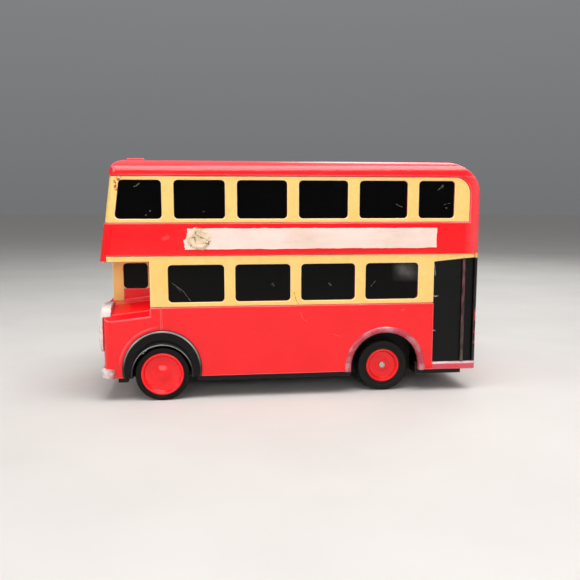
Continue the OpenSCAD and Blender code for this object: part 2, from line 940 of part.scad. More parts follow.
// Layer of the cab's walls between two depths
module cab_layer(outer, inner, z0, z1) {
    plan_prism(z0, z1)
        difference() {
            cab_plan(outer, bulkhead_x + seat_gap);
            cab_plan(inner, bulkhead_x - over);
        }
}

module cab_frame() {
    color(yellow)
    difference() {
        cab_layer(0, cab_wall, waist_z, canopy_z - seat_gap);
        block(bulkhead_x - over, cab_front - cab_pillar, cab_wall_y - cab_wall - over, cab_wall_y + over,
            waist_z - over, cab_sill_z + seat_gap);
        side_prism(-far, far)
            cab_side_window(0);
        cross_prism(cab_front - cab_wall - over, far)
            cab_windscreen(0);
    }
}

module cab_side_window(g) {
    rounded_rect(bulkhead_x + cab_rear_post - g, cab_front - cab_pillar + g,
        cab_sill_z - g, canopy_z - cab_head + g, win_r);
}

module cab_windscreen(g) {
    rounded_rect(-cab_edge_w + corner_post - g, cab_wall_y - cab_pillar + g,
        waist_z + windscreen_sill - g, canopy_z - cab_head + g, win_r);
}

// Black panes of the cab, one insert behind its walls
module cab_glazing() {
    z0 = waist_z + seat_gap;
    z1 = canopy_z - 2*seat_gap;
    pane_in = 0.5;
    color(black) {
        cab_layer(cab_wall + seat_gap, cab_wall + pane_t, z0, z1);
        intersection() {
            cab_layer(pane_in, cab_wall + pane_t/2, z0, z1);
            union() {
                side_prism(-far, far)
                    cab_side_window(-fit_gap);
                cross_prism(cab_front - cab_wall - over, far)
                    cab_windscreen(-fit_gap);
            }
        }
    }
}

// Pale radiator shell with a round head
radiator_w = half_w - cab_wall_y - 2*radiator_side;
radiator_y = (cab_wall_y + half_w)/2;
radiator_back = x_front + seat_gap;
radiator_front = body_len/2;
radiator_depth = 2.4;
radiator_head_r = 4;
radiator_foot_r = 2;
radiator_lean = 1.1;
radiator_tuck = 0.7;
radiator_belly_z = radiator_z + 0.35*radiator_h;
grille_depth = 1.2;
grille_drop = 0.35;

module radiator_outline(d) {
    w = radiator_w/2 - d;
    z0 = radiator_z + d;
    z1 = radiator_z + radiator_h - d;
    foot_r = inside_r(radiator_foot_r, d);
    head_r = inside_r(radiator_head_r, d);
    rounded_outline(
        [[radiator_y - w, z0], [radiator_y + w, z0], [radiator_y + w, z1], [radiator_y - w, z1]],
        [foot_r, foot_r, head_r, head_r]);
}

// Bowed face of the radiator, seen from the side, d behind it
module radiator_profile(d) {
    back = x_front - radiator_depth;
    face = radiator_front - d;
    rounded_outline(
        [[back, radiator_z - over], [face - radiator_tuck, radiator_z - over], [face, radiator_belly_z],
         [face - radiator_lean, radiator_z + radiator_h + over], [back, radiator_z + radiator_h + over]],
        [0, radiator_tuck, radiator_head_r, radiator_foot_r, 0]);
}

module radiator_shell() {
    color(pale)
    difference() {
        intersection() {
            cross_prism(x_front - radiator_depth, far)
                radiator_outline(0);
            side_prism(-far, far)
                radiator_profile(0);
        }
        cross_prism(radiator_front - grille_depth, far)
            radiator_outline(radiator_rim);
        difference() {
            bonnet_form(-seat_gap);
            block(radiator_back, far, -far, far, -far, far);
        }
    }
}

// Dark slats inside the radiator shell
module radiator_grille() {
    back_t = 0.3;
    back_x = radiator_front - grille_depth + seat_gap;
    span = radiator_w - 2*radiator_rim - 2*fit_gap;
    pitch = (span - slat_w)/(slat_count - 1);
    color(black)
    intersection() {
        cross_prism(back_x, radiator_front)
            radiator_outline(radiator_rim + fit_gap);
        side_prism(-far, far)
            radiator_profile(grille_drop);
        union() {
            block(back_x, back_x + back_t, -far, far, 0, far);
            for (i = [0:slat_count - 1])
                translate([back_x, radiator_y - span/2 + i*pitch, 0])
                    cube([far, slat_w, far]);
        }
    }
}

// Bumper wrapped around the foot of the front panel
module front_bumper() {
    color(steel)
    plan_prism(skirt_z, skirt_z + bumper_h)
        difference() {
            front_plan(bumper_t);
            front_plan(seat_gap);
            translate([-far, -far])
                square([far + x_front - front_corner_r, 2*far]);
        }
}

// Black front mudguard with its tunnel around the wheel
module mudguard(side) {
    face = half_w + seat_gap;
    color(black)
    mirror([0, side > 0 ? 0 : 1, 0])
    difference() {
        union() {
            cross_bar(front_axle_x, wheel_z + guard_rise, face, half_w + guard_t, guard_r);
            cross_bar(front_axle_x, wheel_z, half_w - tunnel_depth, half_w + guard_t, tunnel_r);
        }
        cross_bar(front_axle_x, wheel_z, 0, far, guard_in);
        block(-far, far, -far, far, -far, skirt_z);
    }
}

module mudguard_left() {
    mudguard(1);
}

module mudguard_right() {
    mudguard(-1);
}

// Bead around a rear wheel arch, with a lip inside it
module rear_arch_trim(side) {
    color(red)
    mirror([0, side > 0 ? 0 : 1, 0])
    translate([-rear_axle_x, 0, arch_z])
        rotate([-90, 0, 0])
            difference() {
                rotate_extrude() {
                    translate([bead_in, inner_w])
                        square([bead_lip, wall + 2*seat_gap]);
                    intersection() {
                        rounded_rect(bead_in, bead_r, half_w - bead_w, half_w + bead_out, 0.48*bead_w);
                        translate([bead_in, half_w + seat_gap])
                            square([bead_w, bead_w]);
                    }
                }
                block(-far, far, arch_z - skirt_z, far, -far, far);
            }
}

module rear_arch_trim_left() {
    rear_arch_trim(1);
}

module rear_arch_trim_right() {
    rear_arch_trim(-1);
}

// Battery box between the axles
axle_room = 0.3;
box_x1 = front_axle_x - axle_d/2 - axle_room - box_wall;
box_x0 = box_rear - rear_axle_x;
cell_rear = box_x0 + contact_room;
cell_len = box_x1 - contact_room - cell_rear;
box_w = cell_d/2 + cell_gap;
cell_z = base_top + cell_gap + cell_d/2;
box_top = cell_z + cell_d/2 + cell_gap;
door_screw_x = box_x0 - box_wall - boss_d/2;
door_ear = 3;
tab_w = 3;
tab_top = box_top + box_wall + 1.6;

// Outline of the battery door, g larger all round
module door_outline(g) {
    translate([box_x0 - g, -box_w - g])
        square([box_x1 - box_x0 + 2*g, 2*box_w + 2*g]);
    translate([door_screw_x - boss_d/2 - g, -door_ear - g])
        square([box_x0 - door_screw_x + boss_d/2 + over, 2*door_ear + 2*g]);
}

// Gear train, laid out from the rear axle upwards
function pitch_r(teeth) = teeth*gear_module/2;
function polar(r, a) = [r*cos(a), r*sin(a)];
axle_at = [-rear_axle_x, wheel_z];
second_dir = 110;
first_dir = 60;
motor_dir = 110;
second_at = axle_at + polar(pitch_r(axle_teeth) + pitch_r(small_teeth), second_dir);
first_at = second_at + polar(pitch_r(second_teeth) + pitch_r(small_teeth), first_dir);
motor_at = first_at + polar(pitch_r(first_teeth) + pitch_r(pinion_teeth), motor_dir);
plane_gap = 0.4;
plate_gap = 0.6;
sump_wall = 0.8;
gear_stack = 2*plate_t + 2*plate_gap + 3*gear_t + 2*plane_gap;
gearbox_y = waist_w - gear_stack - sump_wall - 2*fit_gap;
plane_a = gearbox_y + plate_t + plate_gap;
plane_b = plane_a + gear_t + plane_gap;
plane_c = plane_b + gear_t + plane_gap;
outer_plate_y = plane_c + gear_t + plate_gap;
outer_plate_end = outer_plate_y + plate_t;

// Bearing posts and the motor's cradle
bearing_wall = 1.4;
front_post_in = 1.2;
post_lap = 0.2;
motor_foot = motor_at[1] - motor_h/2;
cradle_back = 7;
cradle_x = motor_at[0] - cradle_back;
cradle_len = 4;
cradle_in = 2;

// Sump under the axle gear
sump_room = 2;
sump_x = pitch_r(axle_teeth) + sump_room;
sump_floor = wheel_z - pitch_r(axle_teeth) - gear_module - plane_gap;

// Black base with the battery box, the bearings and the sump
module chassis_base() {
    x0 = x_rear + base_inset;
    x1 = x_front - base_inset;
    w = inner_w - fit_gap;
    color(black)
    difference() {
        union() {
            block(x0, x1, -w, w, base_z, base_top);
            difference() {
                block(x0, x1, -w, w, base_top - over/2, base_top + rim_h);
                block(x0 + rim_t, x1 - rim_t, -w + rim_t, w - rim_t, base_top - over, far);
            }
            block(box_x0 - box_wall, box_x1 + box_wall, -box_w - box_wall, box_w + box_wall,
                base_z, box_top + box_wall);
            block(door_screw_x - boss_d/2, box_x0, -boss_d/2, boss_d/2,
                base_top + fit_gap, base_top + screw_len);
            for (side = [0, 1])
                mirror([0, side, 0]) {
                    bearing_post(front_axle_x, waist_w - front_post_in);
                    block(-rear_axle_x - wheel_cut, -rear_axle_x + wheel_cut, waist_w - well_t, waist_w,
                        base_z, motor_foot - plane_gap);
                }
            bearing_post(-rear_axle_x, post_t + post_lap - waist_w);
            block(-rear_axle_x - sump_x - sump_wall, -rear_axle_x + sump_x + sump_wall,
                gearbox_y - fit_gap - sump_wall, outer_plate_end + fit_gap + sump_wall,
                sump_floor - sump_wall, base_top);
            block(cradle_x, cradle_x + cradle_len, can_y0 + cradle_in, can_y0 + 2*cradle_len,
                base_z, motor_foot - seat_gap);
        }
        block(box_x0, box_x1, -box_w, box_w, base_z - over, box_top);
        plan_prism(base_z - over, base_top + fit_gap)
            door_outline(fit_gap);
        block(-rear_axle_x - sump_x, -rear_axle_x + sump_x, gearbox_y - fit_gap, outer_plate_end + fit_gap,
            sump_floor, far);
        for (axle = [front_axle_x, -rear_axle_x], side = [-1, 1])
            block(axle - wheel_cut, axle + wheel_cut,
                side > 0 ? waist_w : -far, side > 0 ? far : -waist_w, 0, far);
        for (axle = [front_axle_x, -rear_axle_x])
            cross_bar(axle, wheel_z, -far, far, axle_d/2 + bearing_gap);
        for (x = [rear_screw_x, front_screw_x])
            screw_hole(x);
        translate([door_screw_x, 0, base_z])
            cylinder(d = screw_d + 2*press_gap, h = screw_len);
        for (x = [box_x0 + contact_t/2 + seat_gap, box_x1 - contact_t/2 - seat_gap])
            block(x - contact_t/2 - fit_gap, x + contact_t/2 + fit_gap,
                -tab_w/2 - fit_gap, tab_w/2 + fit_gap, box_top - over, far);
    }
}

// Bearing post with its outer face at y
module bearing_post(x, y) {
    half = axle_d/2 + bearing_wall;
    block(x - half, x + half, y - post_t, y, base_z, wheel_z + half);
}

// Through hole with a seat for a screw's head
module screw_hole(x) {
    translate([x, 0, base_z - over])
        cylinder(d = screw_d + 2*fit_gap, h = base_t + 2*over);
    translate([x, 0, base_z - over])
        cylinder(d = screw_head_d + 2*fit_gap, h = over + screw_head_h + seat_gap);
}

// Door of the battery box, with an ear for its screw
module battery_door() {
    color(black)
    difference() {
        plan_prism(base_z, base_top)
            door_outline(0);
        screw_hole(door_screw_x);
    }
}

// Pan-head screw with a cross slot, its head downwards
module screw(x) {
    slot = 0.5;
    translate([x, 0, base_z])
        difference() {
            union() {
                cylinder(d = screw_head_d, h = screw_head_h);
                cylinder(d = screw_d, h = screw_len);
            }
            for (a = [0, 90])
                rotate([0, 0, a])
                    cube([screw_head_d*0.6, slot, screw_head_h], center = true);
        }
}

module door_screw() {
    color(steel)
    screw(door_screw_x);
}

module body_screws() {
    color(steel) {
        screw(rear_screw_x);
        screw(front_screw_x);
    }
}

// AA cell, its button towards the front
module aa_cell() {
    color("#3E6B4F")
    translate([cell_rear, 0, cell_z])
        rotate([0, 90, 0]) {
            cylinder(d = cell_d, h = cell_len - button_len);
            cylinder(d = button_d, h = cell_len);
        }
}

// Contact strip with a bowed leaf that presses on the cell, its tab through the box's roof
module contact(x, inward) {
    leaf_r = contact_room - contact_t - 3*seat_gap;
    block(x - contact_t/2, x + contact_t/2, -contact_w/2, contact_w/2, cell_z - 5, box_top - seat_gap);
    block(x - contact_t/2, x + contact_t/2, -tab_w/2, tab_w/2, box_top - over, tab_top);
    intersection() {
        translate([x + inward*contact_t/2, 0, cell_z])
            rotate([90, 0, 0])
                cylinder(r = leaf_r, h = contact_w - 2, center = true);
        block(min(x, x + inward*far), max(x, x + inward*far), -far, far, 0, far);
    }
}

module contact_positive() {
    color(brass)
    contact(box_x1 - contact_t/2 - seat_gap, -1);
}

module contact_negative() {
    color(brass)
    contact(box_x0 + contact_t/2 + seat_gap, 1);
}

// Round outline cut flat above and below
module flat_round(r, h) {
    intersection() {
        circle(r);
        square([4*r, 2*h], center = true);
    }
}

// Steel can of the motor, its bearing boss in the inner plate
motor_len = gearbox_y + inner_w - pane_t - cap_t - motor_room;
can_y1 = gearbox_y - seat_gap;
can_y0 = can_y1 - motor_len;

module at_motor() {
    translate([motor_at[0], 0, motor_at[1]])
        children();
}

module motor_can() {
    color(steel)
    at_motor()
        difference() {
            union() {
                side_prism(can_y0, can_y1)
                    flat_round(motor_w/2, motor_h/2);
                cross_bar(0, 0, can_y1 - over, gearbox_y + plate_t, motor_boss_d/2);
            }
            side_prism(can_y0 - over, can_y1 - can_t)
                flat_round(motor_w/2 - can_t, motor_h/2 - can_t);
            cross_bar(0, 0, -far, far, shaft_d/2 + bearing_gap);
        }
}

// Plastic end cap of the motor, with its two terminals
module motor_end_cap() {
    plug = 1.2;
    color(nylon)
    at_motor()
        difference() {
            union() {
                side_prism(can_y0 - cap_t, can_y0 - seat_gap)
                    flat_round(motor_w/2, motor_h/2);
                side_prism(can_y0 - over, can_y0 + plug)
                    flat_round(motor_w/2 - can_t - fit_gap, motor_h/2 - can_t - fit_gap);
            }
            cross_bar(0, 0, -far, far, shaft_d/2 + bearing_gap);
        }
}

// Two curved magnets against the sides of the can
air_gap = 0.6;
armature_d = min(motor_w - 2*(can_t + magnet_t + air_gap), motor_h - 2*(can_t + air_gap));
magnet_w = 8.4;
magnet_in = 2.4;

module motor_magnets() {
    color("#3B3B40")
    at_motor()
        side_prism(can_y0 + magnet_in, can_y1 - can_t - air_gap)
            difference() {
                intersection() {
                    circle(motor_w/2 - can_t - seat_gap);
                    square([far, magnet_w], center = true);
                }
                circle(armature_d/2 + air_gap);
            }
}

// Three-pole armature with its commutator
module motor_armature() {
    pole_slot = 1.6;
    core_y0 = can_y0 + 3.4;
    core_y1 = can_y1 - can_t - 1.2;
    color("#8A5A34")
    at_motor()
        difference() {
            union() {
                cross_bar(0, 0, core_y0, core_y1, armature_d/2);
                cross_bar(0, 0, can_y0 + 1.6, core_y0 + over, 2.2);
            }
            for (a = [0, 120, 240])
                rotate([0, a, 0])
                    block(3, far, core_y0 - over, core_y1 + over, -pole_slot/2, pole_slot/2);
            cross_bar(0, 0, -far, far, shaft_d/2 + press_gap);
        }
}

module motor_shaft() {
    color(steel)
    cross_bar(motor_at[0], motor_at[1], can_y0 - cap_t + 0.6, plane_c + gear_t, shaft_d/2);
}

// Involute gear outline with its first tooth at angle a
function roll(r, base) = r <= base ? 0 : let (p = acos(base/r)) tan(p)*180/PI - p;
function tooth_half(r, teeth, base) =
    90/teeth - backlash/pitch_r(teeth)*45/PI + roll(pitch_r(teeth), base) - roll(r, base);

module gear_outline(teeth, a) {
    r_pitch = pitch_r(teeth);
    base = r_pitch*cos(20);
    tip = r_pitch + 0.9*gear_module;
    root = r_pitch - 1.2*gear_module;
    flank = [root, max(base, root + 0.01), r_pitch, tip];
    polygon([for (i = [0:teeth - 1]) let (mid = a + i*360/teeth) each concat(
        [for (r = flank) polar(r, mid - tooth_half(r, teeth, base))],
        [for (k = [3:-1:0]) polar(flank[k], mid + tooth_half(flank[k], teeth, base))])]);
}

// Gear across the bus between two planes
module gear(at, teeth, a, y0, y1) {
    translate([at[0], 0, at[1]])
        side_prism(y0, y1)
            gear_outline(teeth, a);
}

// Collar that keeps a gear off the inner plate
collar_y = gearbox_y + plate_t + plane_gap/2;
collar_r = 1.2;

// Half a tooth's turn, so that a gap faces a tooth
function gap_turn(teeth) = 180/teeth;

module motor_pinion() {
    color(brass)
    difference() {
        gear(motor_at, pinion_teeth, motor_dir + 180, plane_c - plane_gap/2, plane_c + gear_t);
        cross_bar(motor_at[0], motor_at[1], -far, far, shaft_d/2 + press_gap);
    }
}

// First gear pair: a wheel on the motor's pinion and a small gear beside it
module gear_one() {
    color(nylon)
    difference() {
        union() {
            gear(first_at, first_teeth, motor_dir + gap_turn(first_teeth), plane_c, plane_c + gear_t);
            gear(first_at, small_teeth, first_dir + 180, plane_b, plane_c + plane_gap/2);
            cross_bar(first_at[0], first_at[1], collar_y, plane_b + plane_gap/2, collar_r);
        }
        cross_bar(first_at[0], first_at[1], -far, far, pin_d/2 + bearing_gap);
    }
}

// Second gear pair, between the first and the rear axle
module gear_two() {
    color(nylon)
    difference() {
        union() {
            gear(second_at, second_teeth, first_dir + gap_turn(second_teeth), plane_b, plane_b + gear_t);
            gear(second_at, small_teeth, second_dir + 180, plane_a, plane_b + plane_gap/2);
            cross_bar(second_at[0], second_at[1], collar_y, plane_a + plane_gap/2, collar_r);
        }
        cross_bar(second_at[0], second_at[1], -far, far, pin_d/2 + bearing_gap);
    }
}

// Gear pressed on the rear axle
module axle_gear() {
    color(nylon)
    difference() {
        union() {
            gear(axle_at, axle_teeth, second_dir + gap_turn(axle_teeth), plane_a, plane_a + gear_t);
            cross_bar(axle_at[0], axle_at[1], collar_y, plane_a + plane_gap/2, axle_d/2 + 1);
        }
        cross_bar(axle_at[0], axle_at[1], -far, far, axle_d/2 + press_gap);
    }
}

// Gearbox plate, its foot in the sump
module gearbox_plate(y0) {
    half = sump_x - fit_gap;
    plate_top = motor_at[1] + motor_boss_d/2 + 2*plate_t;
    side_prism(y0, y0 + plate_t)
        rounded_outline(
            [[axle_at[0] - half, sump_floor + seat_gap], [axle_at[0] + half, sump_floor + seat_gap],
             [axle_at[0] + half, plate_top], [axle_at[0] - half, plate_top]],
            [0, 0, pin_d, pin_d]);
}

module pin_holes(gap) {
    for (at = [first_at, second_at])
        cross_bar(at[0], at[1], -far, far, pin_d/2 + gap);
    cross_bar(axle_at[0], axle_at[1], -far, far, axle_d/2 + bearing_gap);
}

module gearbox_plate_inner() {
    color(nylon)
    difference() {
        gearbox_plate(gearbox_y);
        pin_holes(press_gap);
        cross_bar(motor_at[0], motor_at[1], -far, far, motor_boss_d/2 + seat_gap);
    }
}

module gearbox_plate_outer() {
    color(nylon)
    difference() {
        gearbox_plate(outer_plate_y);
        pin_holes(press_gap);
    }
}

// Steel pins that carry the gear pairs
module gear_pins() {
    color(steel)
    for (at = [first_at, second_at])
        cross_bar(at[0], at[1], gearbox_y, outer_plate_end, pin_d/2);
}

// Rear wheels on their through axle
hub_edge = 0.4;
hub_dish = 1;

module rear_axle() {
    y = rear_face - hub_dish + axle_tip;
    color(steel)
    cross_bar(-rear_axle_x, wheel_z, -y, y, axle_d/2);
}

// Turned piece around an axle on one side, drawn as radius and distance from the middle
module turned(x, side) {
    mirror([0, side > 0 ? 0 : 1, 0])
        translate([x, 0, wheel_z])
            rotate([-90, 0, 0])
                rotate_extrude()
                    children();
}

module rear_hub(side) {
    r = rear_hub_d/2;
    bore = axle_d/2 + press_gap;
    floor_y = rear_face - hub_dish - 0.2;
    color(red)
    turned(-rear_axle_x, side)
        polygon([[bore, rear_inner], [r, rear_inner], [r, rear_face - hub_edge], [r - hub_edge, rear_face],
            [r - 2*hub_edge, rear_face], [r - 3*hub_edge, floor_y], [bore + 3*hub_edge, floor_y],
            [bore + 2*hub_edge, rear_face - hub_dish], [bore, rear_face - hub_dish]]);
}

module rear_hub_left() {
    rear_hub(1);
}

module rear_hub_right() {
    rear_hub(-1);
}

// Tyre ring with rounded shoulders
module tyre(x, side, r_in, y0, y1, shoulder) {
    color(black)
    turned(x, side)
        rounded_outline([[r_in, y0], [tyre_d/2, y0], [tyre_d/2, y1], [r_in, y1]],
            [0, shoulder, shoulder, 0]);
}

module rear_tyre_left() {
    tyre(-rear_axle_x, 1, rear_hub_d/2 + press_gap, rear_inner, rear_face, rear_shoulder);
}

module rear_tyre_right() {
    tyre(-rear_axle_x, -1, rear_hub_d/2 + press_gap, rear_inner, rear_face, rear_shoulder);
}

// Front wheels with blind hubs
front_face = half_w + front_wheel_out;
front_inner = front_face - front_wheel_w;
hub_web = 1.4;
axle_end = front_face - hub_dish - hub_web;
rear_shoulder = 1.2;
front_shoulder = 0.6;
tyre_face = front_face - front_shoulder/3;

module front_axle() {
    color(steel)
    cross_bar(front_axle_x, wheel_z, -axle_end, axle_end, axle_d/2);
}

module front_hub(side) {
    r = front_hub_d/2;
    bore = axle_d/2 + press_gap;
    floor_y = front_face - hub_dish;
    web_y = floor_y - hub_web;
    collar = bore + 1.6;
    color(red)
    turned(front_axle_x, side)
        polygon([[bore, front_inner], [collar, front_inner], [collar, web_y], [r - hub_web, web_y],
            [r - hub_web, front_inner], [r, front_inner], [r, front_face - hub_edge],
            [r - hub_edge, front_face], [r - 2*hub_edge, front_face], [r - 3*hub_edge, floor_y],
            [4*hub_edge, floor_y], [3*hub_edge, floor_y + hub_edge], [0, floor_y + 1.4*hub_edge],
            [0, axle_end + seat_gap], [bore, axle_end + seat_gap]]);
}

module front_hub_left() {
    front_hub(1);
}

module front_hub_right() {
    front_hub(-1);
}

module front_tyre_left() {
    tyre(front_axle_x, 1, front_hub_d/2 + press_gap, front_inner, tyre_face, front_shoulder);
}

module front_tyre_right() {
    tyre(front_axle_x, -1, front_hub_d/2 + press_gap, front_inner, tyre_face, front_shoulder);
}

// Red slider on the roof, its stem through the slot
module switch_knob() {
    rib = 0.5;
    rib_pitch = 1.3;
    rib_in = 1;
    rib_depth = 0.3;
    z0 = roof_z + slide_gap;
    z1 = roof_z + knob_h;
    color(red)
    difference() {
        union() {
            side_prism(-knob_w/2, knob_w/2)
                rounded_outline(
                    [[knob_x - knob_len/2, z0], [knob_x + knob_len/2, z0],
                     [knob_x + knob_len/2, z1], [knob_x - knob_len/2, z1]],
                    [0, 0, rib_depth, rib_depth]);
            block(knob_x - stem_len/2, knob_x + stem_len/2, -stem_w/2, stem_w/2, bar_z, z0 + rib/2);
            block(knob_x - stem_len/2, knob_x + stem_len/2, -bar_w, bar_w, bar_z, roof_in - slide_gap);
        }
        for (i = [-1:1])
            translate([knob_x + i*rib_pitch - rib/2, -knob_w/2 + rib_in, z1 - rib_depth])
                cube([rib, knob_w - 2*rib_in, over]);
    }
}

// Brass bridge under the slider
module switch_wiper() {
    half = 2;
    z1 = bar_z - seat_gap;
    color(brass) {
        block(knob_x - half, knob_x + half, -bar_w, bar_w, z1 - wiper_t, z1);
        for (side = [0, 1])
            mirror([0, side, 0])
                block(knob_x - half, knob_x + half, bar_w - leg_w, bar_w, bar_z - wiper_drop, z1);
    }
}

// Board that carries the switch contacts, on two posts under the roof
module switch_board() {
    color("#7A4E2A")
    block(board_x0, board_x1, -board_w, board_w, board_z - board_t, board_z);
}

// Two brass strips on the board
module switch_contacts() {
    color(brass)
    for (side = [0, 1])
        mirror([0, side, 0])
            block(slot_x0 - leg_w, slot_x1 + leg_w, bar_w - 1.5*leg_w, bar_w + leg_w/2,
                board_z + seat_gap, strip_z);
}

// Insulated wire through a list of points
wire_d = 0.9;

module wire(pts, tint) {
    color(tint)
    for (i = [0:len(pts) - 2]) {
        span = pts[i + 1] - pts[i];
        flat = norm([span[0], span[1]]);
        translate(pts[i])
            rotate([0, atan2(flat, span[2]), atan2(span[1], span[0])])
                cylinder(d = wire_d, h = norm(span));
        if (i > 0)
            translate(pts[i])
                sphere(d = wire_d + 2*blend);
    }
}

lead_y = 3.5;
lead_z = board_z - board_t - seat_gap;
lead_in = 3;
lead_x = board_x0 + lead_in;
lead_drop = 4;
lead_low = 6;
tab_drop = 0.7;
tab_z = tab_top - tab_drop;
tab_run = 6;
cap_y = can_y0 - cap_t - seat_gap;
cap_out = 1;
blue_ahead = 4;
blue_up = 3;
blue_at = motor_at + [blue_ahead, blue_up];
blue_rise = 9;
black_ahead = 7;
black_up = 1;
black_at = motor_at + [black_ahead, black_up];
black_rise = 3;

module wire_battery_switch() {
    x = box_x1 - tab_run;
    wire([[box_x1 - contact_t - 2*seat_gap, 0, tab_z], [x, 0, tab_z], [x, lead_y, tab_top + tab_run],
        [x, lead_y, lead_z - lead_drop], [lead_x, lead_y, lead_z - lead_drop], [lead_x, lead_y, lead_z]],
        "#B3202A");
}

module wire_switch_motor() {
    x = blue_at[0];
    z = blue_at[1];
    wire([[lead_x, -lead_y, lead_z], [lead_x, -lead_y, lead_z - lead_low], [x, -lead_y, lead_z - lead_low],
        [x, cap_y - cap_out, z + blue_rise], [x, cap_y - cap_out, z], [x, cap_y, z]], "#1F3F8F");
}

module wire_battery_motor() {
    x = box_x0 + tab_run;
    wire([[box_x0 + contact_t + 2*seat_gap, 0, tab_z], [x, 0, tab_z],
        [x, cap_y - cap_out, tab_top + black_rise], [black_at[0], cap_y - cap_out, black_at[1]],
        [black_at[0], cap_y, black_at[1]]], "#22252A");
}

body_shell();
front_end();
cab_frame();
cab_glazing();
upper_window_frame();
upper_glazing();
lower_frame_left();
lower_frame_right();
lower_glazing_left();
lower_glazing_right();
rear_upper_glazing();
rear_lower_glazing();
side_label_left();
side_label_right();
platform_panel();
grab_pole();
radiator_shell();
radiator_grille();
front_bumper();
mudguard_left();
mudguard_right();
rear_arch_trim_left();
rear_arch_trim_right();
chassis_base();
battery_door();
door_screw();
body_screws();
aa_cell();
contact_positive();
contact_negative();
motor_can();
motor_end_cap();
motor_magnets();
motor_armature();
motor_shaft();
motor_pinion();
gearbox_plate_inner();
gearbox_plate_outer();
gear_pins();
gear_one();
gear_two();
axle_gear();
rear_axle();
rear_hub_left();
rear_hub_right();
rear_tyre_left();
rear_tyre_right();
front_axle();
front_hub_left();
front_hub_right();
front_tyre_left();
front_tyre_right();
switch_knob();
switch_wiper();
switch_board();
switch_contacts();
wire_battery_switch();
wire_switch_motor();
wire_battery_motor();
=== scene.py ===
"""Looks of the toy double-deck bus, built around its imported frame."""
import json
from math import asin, cos, pi, radians, sin

import bmesh
import bpy
from mathutils import Matrix, Vector, noise


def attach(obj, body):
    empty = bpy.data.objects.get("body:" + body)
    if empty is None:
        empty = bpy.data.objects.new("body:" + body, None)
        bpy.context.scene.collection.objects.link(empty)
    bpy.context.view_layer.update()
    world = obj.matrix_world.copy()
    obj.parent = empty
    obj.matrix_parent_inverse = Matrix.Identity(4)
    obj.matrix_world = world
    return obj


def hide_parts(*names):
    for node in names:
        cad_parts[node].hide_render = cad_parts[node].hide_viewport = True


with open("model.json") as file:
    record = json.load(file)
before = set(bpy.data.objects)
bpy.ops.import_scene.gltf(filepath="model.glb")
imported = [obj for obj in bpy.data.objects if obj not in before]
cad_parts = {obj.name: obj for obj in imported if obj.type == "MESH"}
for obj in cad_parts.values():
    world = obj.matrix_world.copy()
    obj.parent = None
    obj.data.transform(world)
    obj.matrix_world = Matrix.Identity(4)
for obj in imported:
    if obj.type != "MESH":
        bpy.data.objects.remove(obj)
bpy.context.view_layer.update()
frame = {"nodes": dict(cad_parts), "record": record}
nodes = frame["nodes"]
slot_of = {part["node"]: part["material_slot"] for part in frame["record"]["subparts"]}
body_of = {n: body for body, members in frame["record"]["behaviour"]["bodies"].items() for n in members}
MM = 0.001

# Sizes and places on the bus, in millimetres
HALF_W = 21.0
WHEEL_Z = 8.0
TYRE_R = 8.0
REAR_AXLE_X = -28.7
FRONT_AXLE_X = 39.2
# Outer radius of a front mudguard, and how far its middle stands above the wheel's
MUDGUARD_R = 11.7
MUDGUARD_RISE = 1.6
# Pale strip on each side: its rear and front end, and its lower and upper edge
LABEL = (-44.0, 32.0, 45.1, 51.2)
# Sill of the platform: its front end, its inner side and its top
SILL_X = -43.9
SILL_Y = 18.6
SILL_Z = 9.2
# Rear corner behind the platform: its front edge, its inner side, the header's underside and its top
CORNER_X = -56.2
CORNER_Y = 17.0
HEADER_Z = 41.9
BAND_Z = 43.3
# Where the red is lightened to pink: above this height on the roof, faded and dusty with a painted sheen, and
# behind this place at the rear end, a painted highlight round its corner
ROOF_FADE_AND_SHEEN_Z = 69.3
REAR_SHEEN_X = -54.8
# Radius of a hub's hole for its axle, and the gap between a hub and its tyre
AXLE_HOLE_R = 1.01
TYRE_ROOM = 0.01


def srgb(code):
    """Linear colour of an sRGB hex value."""
    parts = [int(code[i:i + 2], 16)/255 for i in (1, 3, 5)]
    return (*[c/12.92 if c <= 0.04045 else ((c + 0.055)/1.055)**2.4 for c in parts], 1.0)


def put(tree, node, sockets):
    """Fills a node's sockets: numbers and hex colours are set, a socket or a node's first output is
    linked."""
    for socket, source in sockets.items():
        into = node.inputs[socket]
        if isinstance(source, bpy.types.Node):
            tree.links.new(source.outputs[0], into)
        elif isinstance(source, bpy.types.NodeSocket):
            tree.links.new(source, into)
        else:
            into.default_value = srgb(source) if isinstance(source, str) else source


def add(tree, kind, sockets, **settings):
    """One node with its settings and links."""
    made = tree.nodes.new("ShaderNode" + kind)
    for name, value in settings.items():
        setattr(made, name, value)
    put(tree, made, sockets)
    return made


def surface(name, **values):
    """New material: itself, its tree, its shader, and the place on the piece in millimetres."""
    made = bpy.data.materials.new(name)
    made.use_nodes = True
    tree = made.node_tree
    shader = tree.nodes["Principled BSDF"]
    put(tree, shader, {socket.replace("_", " "): value for socket, value in values.items()})
    place = add(tree, "TexCoord", {})
    spot = add(tree, "VectorMath", {0: place.outputs["Object"], "Scale": 1/MM}, operation="SCALE")
    return made, tree, shader, spot


def patches(tree, spot, size, low, high, least=0.0, most=1.0, detail=4.0):
    """Mask of ragged patches of about that size in millimetres, or a triple of sizes along X, Y and Z."""
    size = size if isinstance(size, tuple) else (size, size, size)
    grid = add(tree, "Mapping", {"Vector": spot, "Scale": size}, vector_type="TEXTURE")
    cloud = add(tree, "TexNoise", {"Vector": grid, "Scale": 1.0, "Detail": detail})
    return add(tree, "MapRange", {"Value": cloud, "From Min": low, "From Max": high, "To Min": least,
        "To Max": most})


